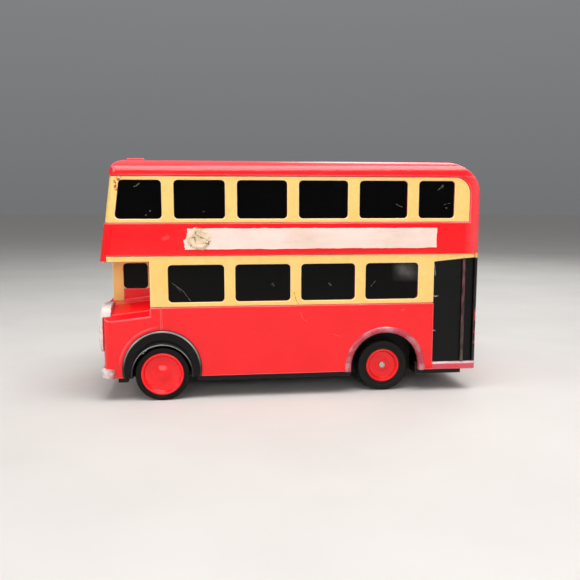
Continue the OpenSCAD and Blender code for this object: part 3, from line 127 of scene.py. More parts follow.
def hairlines(tree, spot, tilt, length, width, low, high, most=1.0):
    """Mask of fine straight scuffs, tilted in the side view; sizes in millimetres."""
    grid = add(tree, "Mapping", {"Vector": spot, "Scale": (length, length, width),
        "Rotation": (0, tilt, 0)}, vector_type="TEXTURE")
    streak = add(tree, "TexNoise", {"Vector": grid, "Scale": 1.0, "Detail": 1.0})
    return add(tree, "MapRange", {"Value": streak, "From Min": low, "From Max": high, "To Max": most})


def inside(tree, spot, low, high, soft=0.15):
    """Mask of the inside of a box in millimetres; a None leaves that side open."""
    sides = add(tree, "SeparateXYZ", {0: spot})
    mask = None
    for axis in range(3):
        for edge, way in ((low[axis], 1), (high[axis], -1)):
            if edge is None:
                continue
            step = add(tree, "MapRange", {"Value": sides.outputs[axis], "From Min": edge - way*soft,
                "From Max": edge + way*soft})
            mask = add(tree, "Math", {0: mask, 1: step}, operation="MULTIPLY") if mask else step
    return mask


def scratches(tree, spot, lines):
    """Mask of scratches on the pavement side, each from (X, Z) to (X, Z) with a width in millimetres."""
    flat = add(tree, "VectorMath", {0: spot, 1: (1, 0, 1)}, operation="MULTIPLY")
    mask = None
    for a, b, width in lines:
        run = Vector((b[0] - a[0], 0, b[1] - a[1]))
        away = add(tree, "VectorMath", {0: flat, 1: (a[0], 0, a[1])}, operation="SUBTRACT")
        along = add(tree, "VectorMath", {0: away, 1: run/run.length_squared}, operation="DOT_PRODUCT")
        held = add(tree, "Clamp", {"Value": along.outputs["Value"]})
        foot = add(tree, "VectorMath", {0: run, "Scale": held}, operation="SCALE")
        gap = add(tree, "VectorMath", {0: away, 1: foot}, operation="DISTANCE")
        line = add(tree, "MapRange", {"Value": gap.outputs["Value"], "From Min": width/2,
            "From Max": width/6})
        mask = add(tree, "Math", {0: mask, 1: line}, operation="MAXIMUM") if mask else line
    ragged = patches(tree, spot, 0.5, 0.36, 0.5)
    broken = add(tree, "Math", {0: mask, 1: ragged}, operation="MULTIPLY")
    near_side = inside(tree, spot, (None, 0, None), (None, None, None))
    return add(tree, "Math", {0: broken, 1: near_side}, operation="MULTIPLY")


def moulded(name, colour, deep, rubbed, rough, peel=0.6, scuffs=0.5, wear=0.4, **values):
    """Injection-moulded plastic: an even colour with a faint cloud in it, a skin with a soft
    orange peel, hairline scuffs from handling, and paler edges, rubbed and partly a painted highlight."""
    made, tree, shader, spot = surface(name, **values)
    cloud = patches(tree, spot, 11.0, 0.3, 0.75, detail=2.0)
    body = add(tree, "MixRGB", {"Fac": cloud, "Color1": colour, "Color2": deep})
    edge = add(tree, "Attribute", {}, attribute_name="edge")
    # Rounded edges paler: rubbed, and partly a painted highlight along them
    edge_wear_and_highlight = patches(tree, spot, 13.0, 0.35, 0.7, wear*0.45, wear, detail=2.0)
    worn = add(tree, "Math", {0: edge.outputs["Fac"], 1: edge_wear_and_highlight}, operation="MULTIPLY")
    body = add(tree, "MixRGB", {"Fac": worn, "Color1": body, "Color2": rubbed})
    lines = add(tree, "Math", {0: hairlines(tree, spot, 0.35, 9.0, 0.16, 0.70, 0.80, 0.16*scuffs),
        1: hairlines(tree, spot, -0.6, 6.0, 0.14, 0.72, 0.82, 0.16*scuffs)}, operation="MAXIMUM")
    body = add(tree, "MixRGB", {"Fac": lines, "Color1": body, "Color2": rubbed})
    dull = add(tree, "Math", {0: worn, 1: patches(tree, spot, 5.0, 0.5, 0.8)}, operation="MAXIMUM")
    gloss = add(tree, "MapRange", {"Value": dull, "To Min": rough, "To Max": rough + 0.16*scuffs})
    skin = add(tree, "TexNoise", {"Vector": spot, "Scale": 1/peel, "Detail": 1.0})
    bump = add(tree, "Bump", {"Height": skin, "Strength": 0.35, "Distance": 0.006*MM})
    put(tree, shader, {"Base Color": body, "Roughness": gloss, "Normal": bump})
    return made, tree, shader, spot, body


def scarlet_abs():
    """Scarlet ABS, moulded against a polished tool: bright gloss, pink along its edges, rubbed and partly a
    painted highlight.
    The corner behind the platform is sprayed black and, at the header, cream; the black has chipped to
    red, and the sill below it is worn to a mauve, its upper edge pale from wear and a painted highlight."""
    made, tree, shader, spot, body = moulded("Moulded_ABS_scarlet", "#F6171E", "#EE151C", "#FF989C",
        0.19, IOR=1.46)
    marks = scratches(tree, spot, (
        ((-33.7, 25.9), (-34.4, 26.1), 0.7), ((37.8, 48.3), (36.8, 48.7), 1.5),
        ((-2.2, 25.8), (-2.9, 24.0), 0.5), ((-2.9, 24.0), (-4.2, 22.9), 0.5),
        ((-12.0, 19.0), (-14.5, 18.2), 0.3)))
    faint = add(tree, "Math", {0: marks, 1: 0.18}, operation="MULTIPLY")
    body = add(tree, "MixRGB", {"Fac": faint, "Color1": body, "Color2": "#FF9C9C"})
    # Roof, faded and dusty towards its top with a painted sheen over it, and the rear end, lightened round
    # its corner as a painted highlight
    sheen_places = add(tree, "Math", {0: inside(tree, spot, (None, None, ROOF_FADE_AND_SHEEN_Z), (None, None, None), 1.0),
        1: inside(tree, spot, (None, None, None), (REAR_SHEEN_X, None, None), 2.0)}, operation="MAXIMUM")
    fade_and_sheen = add(tree, "Math", {0: sheen_places,
        1: patches(tree, spot, (30.0, 18.0, 18.0), 0.3, 0.7, 0.2, 0.32, detail=2.0)}, operation="MULTIPLY")
    body = add(tree, "MixRGB", {"Fac": fade_and_sheen, "Color1": body, "Color2": "#E8868C"})
    # Painted highlight along the fold of the front panel round the mudguard, pale pink: where it starts, its
    # crest and where it ends
    start = MUDGUARD_R + 0.5
    crest = MUDGUARD_R + 1.0
    end = MUDGUARD_R + 1.3
    flat = add(tree, "VectorMath", {0: spot, 1: (1, 0, 1)}, operation="MULTIPLY")
    reach = add(tree, "VectorMath", {0: flat, 1: (FRONT_AXLE_X, 0, WHEEL_Z + MUDGUARD_RISE)},
        operation="DISTANCE")
    fold_highlight = add(tree, "MapRange", {"Value": reach.outputs["Value"], "From Min": start, "From Max": crest,
        "To Max": 0.45})
    beyond = add(tree, "MapRange", {"Value": reach.outputs["Value"], "From Min": end, "From Max": crest})
    ahead = inside(tree, spot, (FRONT_AXLE_X + 2.5, 20.5, 12.5), (None, None, None), 2.0)
    fold_highlight = add(tree, "Math", {0: fold_highlight, 1: beyond}, operation="MULTIPLY")
    fold_highlight = add(tree, "Math", {0: fold_highlight, 1: ahead}, operation="MULTIPLY")
    body = add(tree, "MixRGB", {"Fac": fold_highlight, "Color1": body, "Color2": "#FF9A9C"})
    # Sill of the platform
    sill = inside(tree, spot, (None, SILL_Y, None), (SILL_X, None, SILL_Z + 0.3))
    rubbed = add(tree, "Math", {0: sill, 1: patches(tree, spot, (5.0, 5.0, 1.2), 0.25, 0.6, 0.25, 0.75)},
        operation="MULTIPLY")
    body = add(tree, "MixRGB", {"Fac": rubbed, "Color1": body, "Color2": "#C25A6A"})
    # Pale upper edge of the sill: rubbed bare, and partly a painted highlight where the edge catches the
    # light
    brink = inside(tree, spot, (None, SILL_Y, SILL_Z - 0.45), (SILL_X, None, SILL_Z + 0.3))
    bared_and_highlit = add(tree, "Math", {0: brink, 1: patches(tree, spot, (2.5, 2.5, 0.8), 0.3, 0.5, 0.35, 0.9)},
        operation="MULTIPLY")
    body = add(tree, "MixRGB", {"Fac": bared_and_highlit, "Color1": body, "Color2": "#E6D6D8"})
    # Sprayed corner
    header = inside(tree, spot, (None, CORNER_Y, HEADER_Z), (CORNER_X, None, BAND_Z))
    body = add(tree, "MixRGB", {"Fac": header, "Color1": body, "Color2": "#F0C56E"})
    corner = inside(tree, spot, (None, CORNER_Y, SILL_Z + 0.2), (CORNER_X, None, HEADER_Z))
    chips = add(tree, "Math", {0: patches(tree, spot, (1.4, 1.4, 2.2), 0.47, 0.51),
        1: inside(tree, spot, (None, None, 15.0), (-57.1, None, 26.5), 0.5)}, operation="MULTIPLY")
    sprayed = add(tree, "Math", {0: corner, 1: chips}, operation="SUBTRACT", use_clamp=True)
    body = add(tree, "MixRGB", {"Fac": sprayed, "Color1": body, "Color2": "#0C0C0C"})
    put(tree, shader, {"Base Color": body})
    return made


def cream_yellow_abs():
    """Cream-yellow ABS, moulded: softer gloss than the red, ivory along its edges, rubbed and partly a
    painted highlight, with brown chips at the front corner of the upper band and a red scratch on one pillar."""
    made, tree, shader, spot, body = moulded("Moulded_ABS_cream_yellow", "#F6CF7B", "#F2C870", "#FFF0CC",
        0.26, wear=0.6, IOR=1.46)
    near = inside(tree, spot, (49.3, 15.0, 61.8), (51.8, None, 66.3), 0.4)
    chips = add(tree, "Math", {0: near, 1: patches(tree, spot, 0.9, 0.49, 0.55)}, operation="MULTIPLY")
    body = add(tree, "MixRGB", {"Fac": chips, "Color1": body, "Color2": "#A85A34"})
    marks = scratches(tree, spot, (
        ((-0.3, 32.0), (-0.8, 29.8), 0.3), ((-0.8, 29.8), (-1.6, 28.4), 0.3)))
    body = add(tree, "MixRGB", {"Fac": marks, "Color1": body, "Color2": "#C4523C"})
    put(tree, shader, {"Base Color": body})
    return made


def polished_black_styrene():
    """Black styrene, moulded in a mirror-polished tool: a deep wet black that shows every scratch and
    smear."""
    made, tree, shader, spot, body = moulded("Polished_styrene_black", "#040404", "#060505", "#2E2C29",
        0.08, scuffs=0.6, wear=0.3, Specular_IOR_Level=0.11)
    smear = add(tree, "Math", {0: patches(tree, spot, (5.0, 5.0, 3.0), 0.3, 0.75, 0.05, 0.34),
        1: inside(tree, spot, (-38.6, 0.0, 36.2), (-32.0, None, 40.4), 1.7)}, operation="MULTIPLY")
    body = add(tree, "MixRGB", {"Fac": smear, "Color1": body, "Color2": "#A8A49C"})
    upper_deck = (
        ((46.0, 63.3), (45.3, 63.5), 0.4), ((45.2, 63.7), (44.5, 64.2), 0.4),
        ((43.0, 55.0), (42.8, 55.2), 0.4), ((41.8, 56.2), (41.6, 56.4), 0.35),
        ((19.0, 59.6), (18.7, 59.8), 0.3), ((26.5, 56.0), (26.2, 56.1), 0.3),
        ((-31.4, 58.3), (-32.4, 57.7), 0.22), ((-32.5, 57.7), (-33.3, 57.4), 0.22),
        ((-44.4, 62.5), (-45.1, 63.1), 0.3), ((-45.3, 63.4), (-45.9, 64.0), 0.35),
        ((-45.6, 63.1), (-46.1, 63.6), 0.2), ((-46.4, 58.0), (-46.9, 58.3), 0.22),
        ((-47.4, 58.4), (-48.3, 58.5), 0.16), ((-47.0, 57.1), (-47.3, 57.1), 0.4))
    lower_deck = (
        ((35.9, 35.2), (32.7, 32.8), 0.2), ((32.7, 32.8), (30.5, 29.6), 0.24),
        ((34.6, 34.0), (33.4, 32.6), 0.15), ((6.5, 34.3), (6.1, 34.7), 0.38),
        ((6.0, 34.3), (5.7, 33.9), 0.3), ((-11.0, 34.5), (-11.5, 34.1), 0.35),
        ((-11.3, 33.9), (-11.7, 33.8), 0.3), ((-24.1, 33.4), (-24.4, 33.9), 0.3),
        ((-24.8, 34.3), (-25.3, 34.9), 0.26))
    marks = scratches(tree, spot, upper_deck + lower_deck)
    body = add(tree, "MixRGB", {"Fac": marks, "Color1": body, "Color2": "#66625C"})
    put(tree, shader, {"Base Color": body})
    return made


def satin_black_abs():
    """Black ABS, moulded against a spark-eroded tool: a satin black, grey along its edges, rubbed and
    partly a painted highlight, with pale nicks at the edge of the platform."""
    made, tree, shader, spot, body = moulded("Moulded_ABS_black_satin", "#0A0A0A", "#0D0D0C", "#6A6862",
        0.36, peel=0.35, wear=0.3, Specular_IOR_Level=0.18)
    marks = scratches(tree, spot, (
        ((-43.7, 30.2), (-44.6, 29.9), 0.55), ((-44.6, 29.9), (-45.4, 30.1), 0.4),
        ((-43.7, 19.4), (-44.7, 19.1), 0.5), ((-44.0, 40.0), (-44.3, 36.5), 0.25)))
    body = add(tree, "MixRGB", {"Fac": marks, "Color1": body, "Color2": "#B4AFA8"})
    put(tree, shader, {"Base Color": body})
    return made


def gloss_black_abs():
    """Black ABS, moulded glossy: the mudguards and front tyres, silvery grey on the lips towards their
    tops, partly rubbed and partly a painted highlight."""
    made, tree, shader, spot, body = moulded("Moulded_ABS_black_gloss", "#040404", "#060606", "#8A8882",
        0.18, scuffs=0.4, wear=0.15, Specular_IOR_Level=0.2)
    # Lips paler towards the top: rubbed, and a painted highlight where the light from above falls on them
    edge = add(tree, "Attribute", {}, attribute_name="edge")
    highlit_top = add(tree, "Math", {0: inside(tree, spot, (None, None, 14.5), (None, None, None), 4.5),
        1: patches(tree, spot, (5.0, 5.0, 5.0), 0.3, 0.6, 0.3, 0.7)}, operation="MULTIPLY")
    rubbed = add(tree, "Math", {0: edge.outputs["Fac"], 1: highlit_top}, operation="MULTIPLY")
    body = add(tree, "MixRGB", {"Fac": rubbed, "Color1": body, "Color2": "#CDCBC6"})
    put(tree, shader, {"Base Color": body})
    return made


def base_polypropylene():
    """Black polypropylene, moulded: a dull waxy base with grey scuffs."""
    return moulded("Moulded_polypropylene_black", "#0C0C0D", "#111111", "#4A4945", 0.46, peel=0.5, wear=0.5,
        Specular_IOR_Level=0.25)[0]


def bare_paper():
    """Coated paper strip, bare and worn: matt, pinkish white, with stains, rubbed fibres and faint
    creases."""
    made, tree, shader, spot = surface("Coated_paper_bare", IOR=1.45, Roughness=0.62)
    stain = patches(tree, spot, (9.0, 9.0, 4.0), 0.42, 0.78)
    body = add(tree, "MixRGB", {"Fac": stain, "Color1": "#F6DBD0", "Color2": "#E6CAB9"})
    greyed = patches(tree, spot, (3.0, 3.0, 1.2), 0.60, 0.80, most=0.4)
    body = add(tree, "MixRGB", {"Fac": greyed, "Color1": body, "Color2": "#C6B6A8"})
    creases = hairlines(tree, spot, 0.06, 12.0, 0.2, 0.68, 0.78, 0.4)
    body = add(tree, "MixRGB", {"Fac": creases, "Color1": body, "Color2": "#C9AFA4"})
    fibre = add(tree, "TexNoise", {"Vector": spot, "Scale": 1/0.25, "Detail": 3.0})
    bump = add(tree, "Bump", {"Height": fibre, "Strength": 0.5, "Distance": 0.02*MM})
    put(tree, shader, {"Base Color": body, "Normal": bump})
    return made


def dried_glue():
    """Dried glue and torn paper fibre: rough, cream, brown in its cracks."""
    made, tree, shader, spot = surface("Dried_glue", IOR=1.45, Roughness=0.8)
    cell = add(tree, "TexVoronoi", {"Vector": spot, "Scale": 1/3.1}, feature="DISTANCE_TO_EDGE")
    crack = add(tree, "MapRange", {"Value": cell, "From Min": 0.08, "From Max": 0.01})
    broken = add(tree, "Math", {0: crack, 1: patches(tree, spot, 1.1, 0.46, 0.58)}, operation="MULTIPLY")
    tone = patches(tree, spot, 1.6, 0.35, 0.7)
    body = add(tree, "MixRGB", {"Fac": tone, "Color1": "#EBD3B6", "Color2": "#DABD9B"})
    body = add(tree, "MixRGB", {"Fac": broken, "Color1": body, "Color2": "#745236"})
    lumps = add(tree, "TexNoise", {"Vector": spot, "Scale": 1/0.5, "Detail": 5.0})
    bump = add(tree, "Bump", {"Height": lumps, "Strength": 0.8, "Distance": 0.08*MM})
    put(tree, shader, {"Base Color": body, "Normal": bump})
    return made


def worn_silver_trim():
    """Silver lacquer brushed over the red arch bead, mostly worn off: mauve with silvery remains."""
    made, tree, shader, spot = surface("Silver_lacquer_worn_to_red", IOR=1.5)
    bare = patches(tree, spot, (4.5, 4.5, 3.0), 0.22, 0.52, 0.4, 1.0, detail=6.0)
    body = add(tree, "MixRGB", {"Fac": bare, "Color1": "#D8C4C6", "Color2": "#B63C4A"})
    grime = patches(tree, spot, 0.6, 0.60, 0.72, most=0.7)
    body = add(tree, "MixRGB", {"Fac": grime, "Color1": body, "Color2": "#5A2A30"})
    shine = add(tree, "MapRange", {"Value": bare, "To Min": 0.6, "To Max": 0.0})
    rough = add(tree, "MapRange", {"Value": bare, "To Min": 0.30, "To Max": 0.2})
    put(tree, shader, {"Base Color": body, "Metallic": shine, "Roughness": rough})
    return made


def worn_pole_lacquer():
    """Black lacquer on the pole, rubbed through to a dull mauve along its upper half and to a dull brown
    near the foot."""
    made, tree, shader, spot = surface("Black_lacquer_worn_to_mauve", IOR=1.5, Roughness=0.35)
    worn = patches(tree, spot, (0.8, 0.8, 3.0), 0.38, 0.55, 0.1, 0.8)
    upper = inside(tree, spot, (None, None, 22.0), (None, None, None), 5.0)
    body = add(tree, "MixRGB", {"Fac": upper, "Color1": "#5A4C44", "Color2": "#6E3B44"})
    body = add(tree, "MixRGB", {"Fac": worn, "Color1": "#171515", "Color2": body})
    put(tree, shader, {"Base Color": body})
    return made


def pale_lacquer():
    """Pale silver-white lacquer on the radiator and the bumper: satin, pink where the red shows through,
    and worn to a dark red along the bumper's wrapped ends."""
    made, tree, shader, spot = surface("Pale_lacquer_on_ABS", IOR=1.5)
    tone = patches(tree, spot, 2.5, 0.35, 0.7)
    body = add(tree, "MixRGB", {"Fac": tone, "Color1": "#E3DDD6", "Color2": "#D0C5BE"})
    edge = add(tree, "Attribute", {}, attribute_name="edge")
    thin = add(tree, "Math", {0: edge.outputs["Fac"], 1: patches(tree, spot, 1.6, 0.42, 0.62)},
        operation="MULTIPLY")
    body = add(tree, "MixRGB", {"Fac": thin, "Color1": body, "Color2": "#D87F82"})
    ends = add(tree, "Math", {0: inside(tree, spot, (None, None, None), (54.6, None, 13.0), 1.2),
        1: patches(tree, spot, 1.4, 0.32, 0.5, 0.4, 0.9)}, operation="MULTIPLY")
    body = add(tree, "MixRGB", {"Fac": ends, "Color1": body, "Color2": "#A83C43"})
    rough = patches(tree, spot, 1.2, 0.4, 0.7, 0.24, 0.42)
    put(tree, shader, {"Base Color": body, "Roughness": rough})
    return made


def moulded_rubber():
    """Black rubber, moulded: matt and slightly grey-green with bloom, polished where it rolls."""
    made, tree, shader, spot = surface("Moulded_rubber_black", IOR=1.52, Specular_IOR_Level=0.25)
    bloom = patches(tree, spot, 2.2, 0.4, 0.75)
    body = add(tree, "MixRGB", {"Fac": bloom, "Color1": "#0A0B09", "Color2": "#141612"})
    rough = add(tree, "MapRange", {"Value": bloom, "To Min": 0.55, "To Max": 0.8})
    grain = add(tree, "TexNoise", {"Vector": spot, "Scale": 1/0.3, "Detail": 3.0})
    bump = add(tree, "Bump", {"Height": grain, "Strength": 0.4, "Distance": 0.02*MM})
    put(tree, shader, {"Base Color": body, "Roughness": rough, "Normal": bump})
    return made


def drawn_steel():
    """Steel, drawn or pressed and left bright: fine lines along the draw, with dull handled patches."""
    made, tree, shader, spot = surface("Drawn_steel", Metallic=1.0)
    lines = hairlines(tree, spot, pi/2, 8.0, 0.12, 0.3, 0.7)
    body = add(tree, "MixRGB", {"Fac": lines, "Color1": "#D2CCC0", "Color2": "#B0AA9E"})
    rough = patches(tree, spot, 1.5, 0.4, 0.7, 0.22, 0.42)
    put(tree, shader, {"Base Color": body, "Roughness": rough})
    return made


def stamped_brass():
    """Brass strip, stamped: yellow metal with brown tarnish clouds."""
    made, tree, shader, spot = surface("Stamped_brass", Metallic=1.0)
    tarnish = patches(tree, spot, 1.8, 0.45, 0.75)
    body = add(tree, "MixRGB", {"Fac": tarnish, "Color1": "#D8B25A", "Color2": "#9A7436"})
    rough = add(tree, "MapRange", {"Value": tarnish, "To Min": 0.22, "To Max": 0.5})
    put(tree, shader, {"Base Color": body, "Roughness": rough})
    return made


def plain(name, first, second, size, rough, bumps=0.02):
    """Plain inner finish: two close tones in patches, dull and bright with them, over a fine grain."""
    made, tree, shader, spot = surface(name)
    tone = patches(tree, spot, size, 0.35, 0.7)
    body = add(tree, "MixRGB", {"Fac": tone, "Color1": first, "Color2": second})
    gloss = add(tree, "MapRange", {"Value": tone, "To Min": rough, "To Max": rough + 0.15})
    grain = add(tree, "TexNoise", {"Vector": spot, "Scale": 1/0.3, "Detail": 2.0})
    bump = add(tree, "Bump", {"Height": grain, "Strength": 0.4, "Distance": bumps*MM})
    put(tree, shader, {"Base Color": body, "Roughness": gloss, "Normal": bump})
    return made


scarlet = scarlet_abs()
yellow = cream_yellow_abs()
pane_black = polished_black_styrene()
satin_black = satin_black_abs()
gloss_black = gloss_black_abs()
base_black = base_polypropylene()
paper = bare_paper()
glue = dried_glue()
arch_silver = worn_silver_trim()
pole_black = worn_pole_lacquer()
radiator_pale = pale_lacquer()
rubber = moulded_rubber()
steel = drawn_steel()
brass = stamped_brass()
# Moulded nylon gears: ivory and waxy
nylon = plain("Moulded_nylon_ivory", "#E9E4D2", "#DAD3BC", 2.0, 0.4)
# Pressed ferrite and stacked iron: dark grey, grainy
ferrite = plain("Pressed_ferrite", "#3B3A3C", "#2C2B2D", 0.8, 0.6, bumps=0.05)
# Plain film sleeve shrunk on a zinc can: green, slightly wavy
sleeve = plain("Shrunk_film_sleeve_green", "#2F6B49", "#275B3E", 6.0, 0.25)
# Pressed phenolic board: brown with darker fibre
board = plain("Pressed_phenolic_board", "#7A4E2A", "#643E20", 1.0, 0.5, bumps=0.05)
# Extruded PVC insulation, three colours
pvc_red = plain("Extruded_PVC_red", "#B3202A", "#9C1A24", 3.0, 0.35)
pvc_blue = plain("Extruded_PVC_blue", "#20428F", "#1A387C", 3.0, 0.35)
pvc_black = plain("Extruded_PVC_black", "#202225", "#2B2D30", 3.0, 0.35)

finish_of_slot = {"red_plastic": scarlet, "arch_red": arch_silver, "yellow_plastic": yellow,
    "black_panes": pane_black, "black_plastic": satin_black, "paper_strip": paper, "pole_finish": pole_black,
    "radiator_silver": radiator_pale, "rubber": rubber, "steel": steel, "magnet": ferrite, "brass": brass,
    "nylon": nylon, "cell_sleeve": sleeve, "board": board, "wire_red": pvc_red, "wire_blue": pvc_blue,
    "wire_black": pvc_black}
finish_of_node = {"mudguard_left": gloss_black, "mudguard_right": gloss_black, "front_tyre_left": gloss_black,
    "front_tyre_right": gloss_black, "chassis_base": base_black, "battery_door": base_black}


def finish(node):
    """Finish of a CAD node: its own where it has one, or else its slot's."""
    return finish_of_node.get(node) or finish_of_slot[slot_of[node]]


for name, piece in nodes.items():
    piece.data.materials.clear()
    piece.data.materials.append(finish(name))


def placed(name, bm, material, node):
    """New piece from a mesh, shaded smooth, with the given finish and riding on that CAD node's body."""
    mesh = bpy.data.meshes.new(name)
    for face in bm.faces:
        face.smooth = True
    bm.to_mesh(mesh)
    bm.free()
    made = bpy.data.objects.new(name, mesh)
    bpy.context.scene.collection.objects.link(made)
    mesh.materials.append(material)
    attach(made, body_of[node])
    return made


# Corners too tight to round: behind the platform, and where the bonnet meets the scuttle, as boxes in
# millimetres
TIGHT = (((-60, 0, 0), (CORNER_X, 25, BAND_Z + 1)), ((51, 3.9, 27), (57, 4.1, 28.3)))
# Least turn of an edge that is rounded, in degrees: the front end's faces meet at flatter angles
SHARP = 34
FRONT_END_SHARP = 9


def too_tight(edge):
    """Whether an edge lies within one of the tight corners."""
    for low, high in TIGHT:
        if all(low[k]*MM < point.co[k] < high[k]*MM for point in edge.verts for k in range(3)):
            return True
    return False


def eased(node, radius, angle):
    """A CAD piece with the edges that turn by more than that angle rounded to that radius in millimetres;
    the rounded faces carry edge = 1."""
    # Points closer than the weld, in metres, are one; faces that turn by less than the level are one; an
    # edge that turns by more than the crease stays sharp in the shading
    weld = 1e-7
    level = radians(0.4)
    crease = radians(55)
    bm = bmesh.new()
    source = nodes[node].data
    points = [bm.verts.new(vertex.co) for vertex in source.vertices]
    for face in source.polygons:
        bm.faces.new([points[i] for i in face.vertices])
    bmesh.ops.remove_doubles(bm, verts=bm.verts, dist=weld)
    bmesh.ops.dissolve_limit(bm, angle_limit=level, verts=bm.verts, edges=bm.edges)
    worn = bm.faces.layers.float.new("edge")
    sharp = [edge for edge in bm.edges if len(edge.link_faces) == 2
        and edge.calc_face_angle() > radians(angle) and not too_tight(edge)]
    made = bmesh.ops.bevel(bm, geom=sharp, offset=radius*MM, segments=2, profile=0.5, affect="EDGES",
        clamp_overlap=False)
    for face in made["faces"]:
        face[worn] = 1.0
    for edge in bm.edges:
        edge.smooth = len(edge.link_faces) == 2 and edge.calc_face_angle() < crease
    piece = placed(node + "_eased", bm, finish(node), node)
    piece.modifiers.new("even_shading", "WEIGHTED_NORMAL").keep_sharp = True
    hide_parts(node)


# Radius of each piece's eased edges, in millimetres
EDGE_RADIUS = {"body_shell": 0.28, "front_end": 0.3, "cab_frame": 0.14, "upper_window_frame": 0.2,
    "lower_frame_left": 0.2, "lower_frame_right": 0.2, "upper_glazing": 0.12, "lower_glazing_left": 0.12,
    "lower_glazing_right": 0.12, "rear_upper_glazing": 0.12, "cab_glazing": 0.12, "platform_panel": 0.12,
    "grab_pole": 0.15, "radiator_shell": 0.2, "radiator_grille": 0.08, "front_bumper": 0.25,
    "rear_arch_trim_left": 0.1, "rear_arch_trim_right": 0.1, "chassis_base": 0.15, "battery_door": 0.15,
    "door_screw": 0.1, "body_screws": 0.1, "switch_knob": 0.14, "rear_axle": 0.22}
for node, radius in EDGE_RADIUS.items():
    eased(node, radius, FRONT_END_SHARP if node == "front_end" else SHARP)


def rolled_mudguard(hand, side, steps=96):
    """Front mudguard: a tunnel and a face plate swept over the wheel, with a rolled lip along both edges
    of the plate; both ends are cut flat at the skirt."""
    # Radius inside and outside the tunnel, and height of the cut ends
    inner = 8.7
    tunnel = 9.8
    skirt = 7.0
    # Distances from the bus's middle: the tunnel's inner end, the plate's back and the lips' outside
    back = HALF_W - 8.0
    plate = HALF_W + 0.02
    face = HALF_W + 0.8
    # Half the lips' thickness, and half the outer and the inner lip's width
    roll = 0.34
    outer_roll = 0.36
    inner_roll = 0.26
    # Dip between the lips: its floor, and where it begins at the outer and the inner lip
    dip = face - 0.42
    outer_dip = MUDGUARD_R - 0.9
    inner_dip = inner + 0.7
    # Lips beyond this distance from the bus's middle are marked, for their rubbed tone and painted highlight
    crest = face - 0.12
    turns = [pi*k/10 for k in range(11)]
    # Each corner of the profile: radius, distance from the bus's middle, rise of its middle over the wheel's
    profile = [(inner, back, 0), (tunnel, back, 0), (tunnel, plate, 0), (MUDGUARD_R, plate, MUDGUARD_RISE)]
    profile += [(MUDGUARD_R + outer_roll*(cos(a) - 1), face + roll*(sin(a) - 1), MUDGUARD_RISE)
        for a in turns]
    profile += [(outer_dip, dip, MUDGUARD_RISE), (inner_dip, dip, 0)]
    profile += [(inner + inner_roll*(cos(a) + 1), face + roll*(sin(a) - 1), 0) for a in turns]
    bm = bmesh.new()
    rubbed = bm.faces.layers.float.new("edge")
    rings = []
    for r, y, rise in profile:
        middle = WHEEL_Z + rise
        low = asin((skirt - middle)/r)
        angles = [low + (pi - 2*low)*i/steps for i in range(steps + 1)]
        rings.append([bm.verts.new(((FRONT_AXLE_X + r*cos(a))*MM, side*y*MM, (middle + r*sin(a))*MM))
            for a in angles])
    for k, (here, there) in enumerate(zip(rings, rings[1:] + rings[:1])):
        for i in range(steps):
            made = bm.faces.new((here[i], there[i], there[i + 1], here[i + 1]))
            made[rubbed] = 1.0 if profile[k][1] > crest else 0.0
    for end in (0, steps):
        bm.faces.new([ring[end] for ring in rings])
    bmesh.ops.recalc_face_normals(bm, faces=bm.faces)
    for edge in bm.edges:
        edge.smooth = edge.calc_face_angle(0) < radians(40)
    node = "mudguard_" + hand
    piece = placed(node + "_rolled", bm, finish(node), node)
    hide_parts(node)


rolled_mudguard("left", 1)
rolled_mudguard("right", -1)


def turned(node, profile, x, side, steps=128):
    """Ring turned around an axle; the profile is a closed loop of (radius, distance from the middle)."""
    bm = bmesh.new()
    rings = []
    for radius, y in profile:
        if radius == 0:
            rings.append([bm.verts.new((x*MM, side*y*MM, WHEEL_Z*MM))]*steps)
        else:
            rings.append([bm.verts.new(((x + radius*cos(2*pi*i/steps))*MM, side*y*MM,
                (WHEEL_Z + radius*sin(2*pi*i/steps))*MM)) for i in range(steps)])
    for here, there in zip(rings, rings[1:] + rings[:1]):
        if len(set(here)) == 1 and len(set(there)) == 1:
            continue
        for i in range(steps):
            j = (i + 1) % steps
            corners = list(dict.fromkeys((here[i], there[i], there[j], here[j])))
            bm.faces.new(corners)
    bmesh.ops.recalc_face_normals(bm, faces=bm.faces)
    for edge in bm.edges:
        edge.smooth = edge.calc_face_angle() < radians(50)
    piece = placed(node + "_turned", bm, finish(node), node)
    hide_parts(node)


def rounded(corners, steps=4):
    """Profile with its corners rounded: each corner is (radius, distance, rounding)."""
    points = []
    count = len(corners)
    for i, (r, y, ease) in enumerate(corners):
        here = Vector((r, y))
        if ease == 0:
            points.append((r, y))
            continue
        back = Vector(corners[i - 1][:2]) - here
        on = Vector(corners[(i + 1) % count][:2]) - here
        start = here + back.normalized()*min(ease, back.length*0.48)
        end = here + on.normalized()*min(ease, on.length*0.48)
        for k in range(steps + 1):
            t = k/steps
            point = start*(1 - t)**2 + here*2*t*(1 - t) + end*t**2
            points.append((point.x, point.y))
    return points


def grooved(y0, y1, radius, grooves, depth, width):
    """Tread between two distances, with round grooves cut around it."""
    points = [(radius, y0, 0.0)]
    for k in range(grooves):
        middle = y0 + (y1 - y0)*(k + 1)/(grooves + 1)
        points += [(radius, middle - width/2, 0.06), (radius - depth, middle - width/4, 0.05),
            (radius - depth, middle + width/4, 0.05), (radius, middle + width/2, 0.06)]
    return points + [(radius, y1, 0.0)]


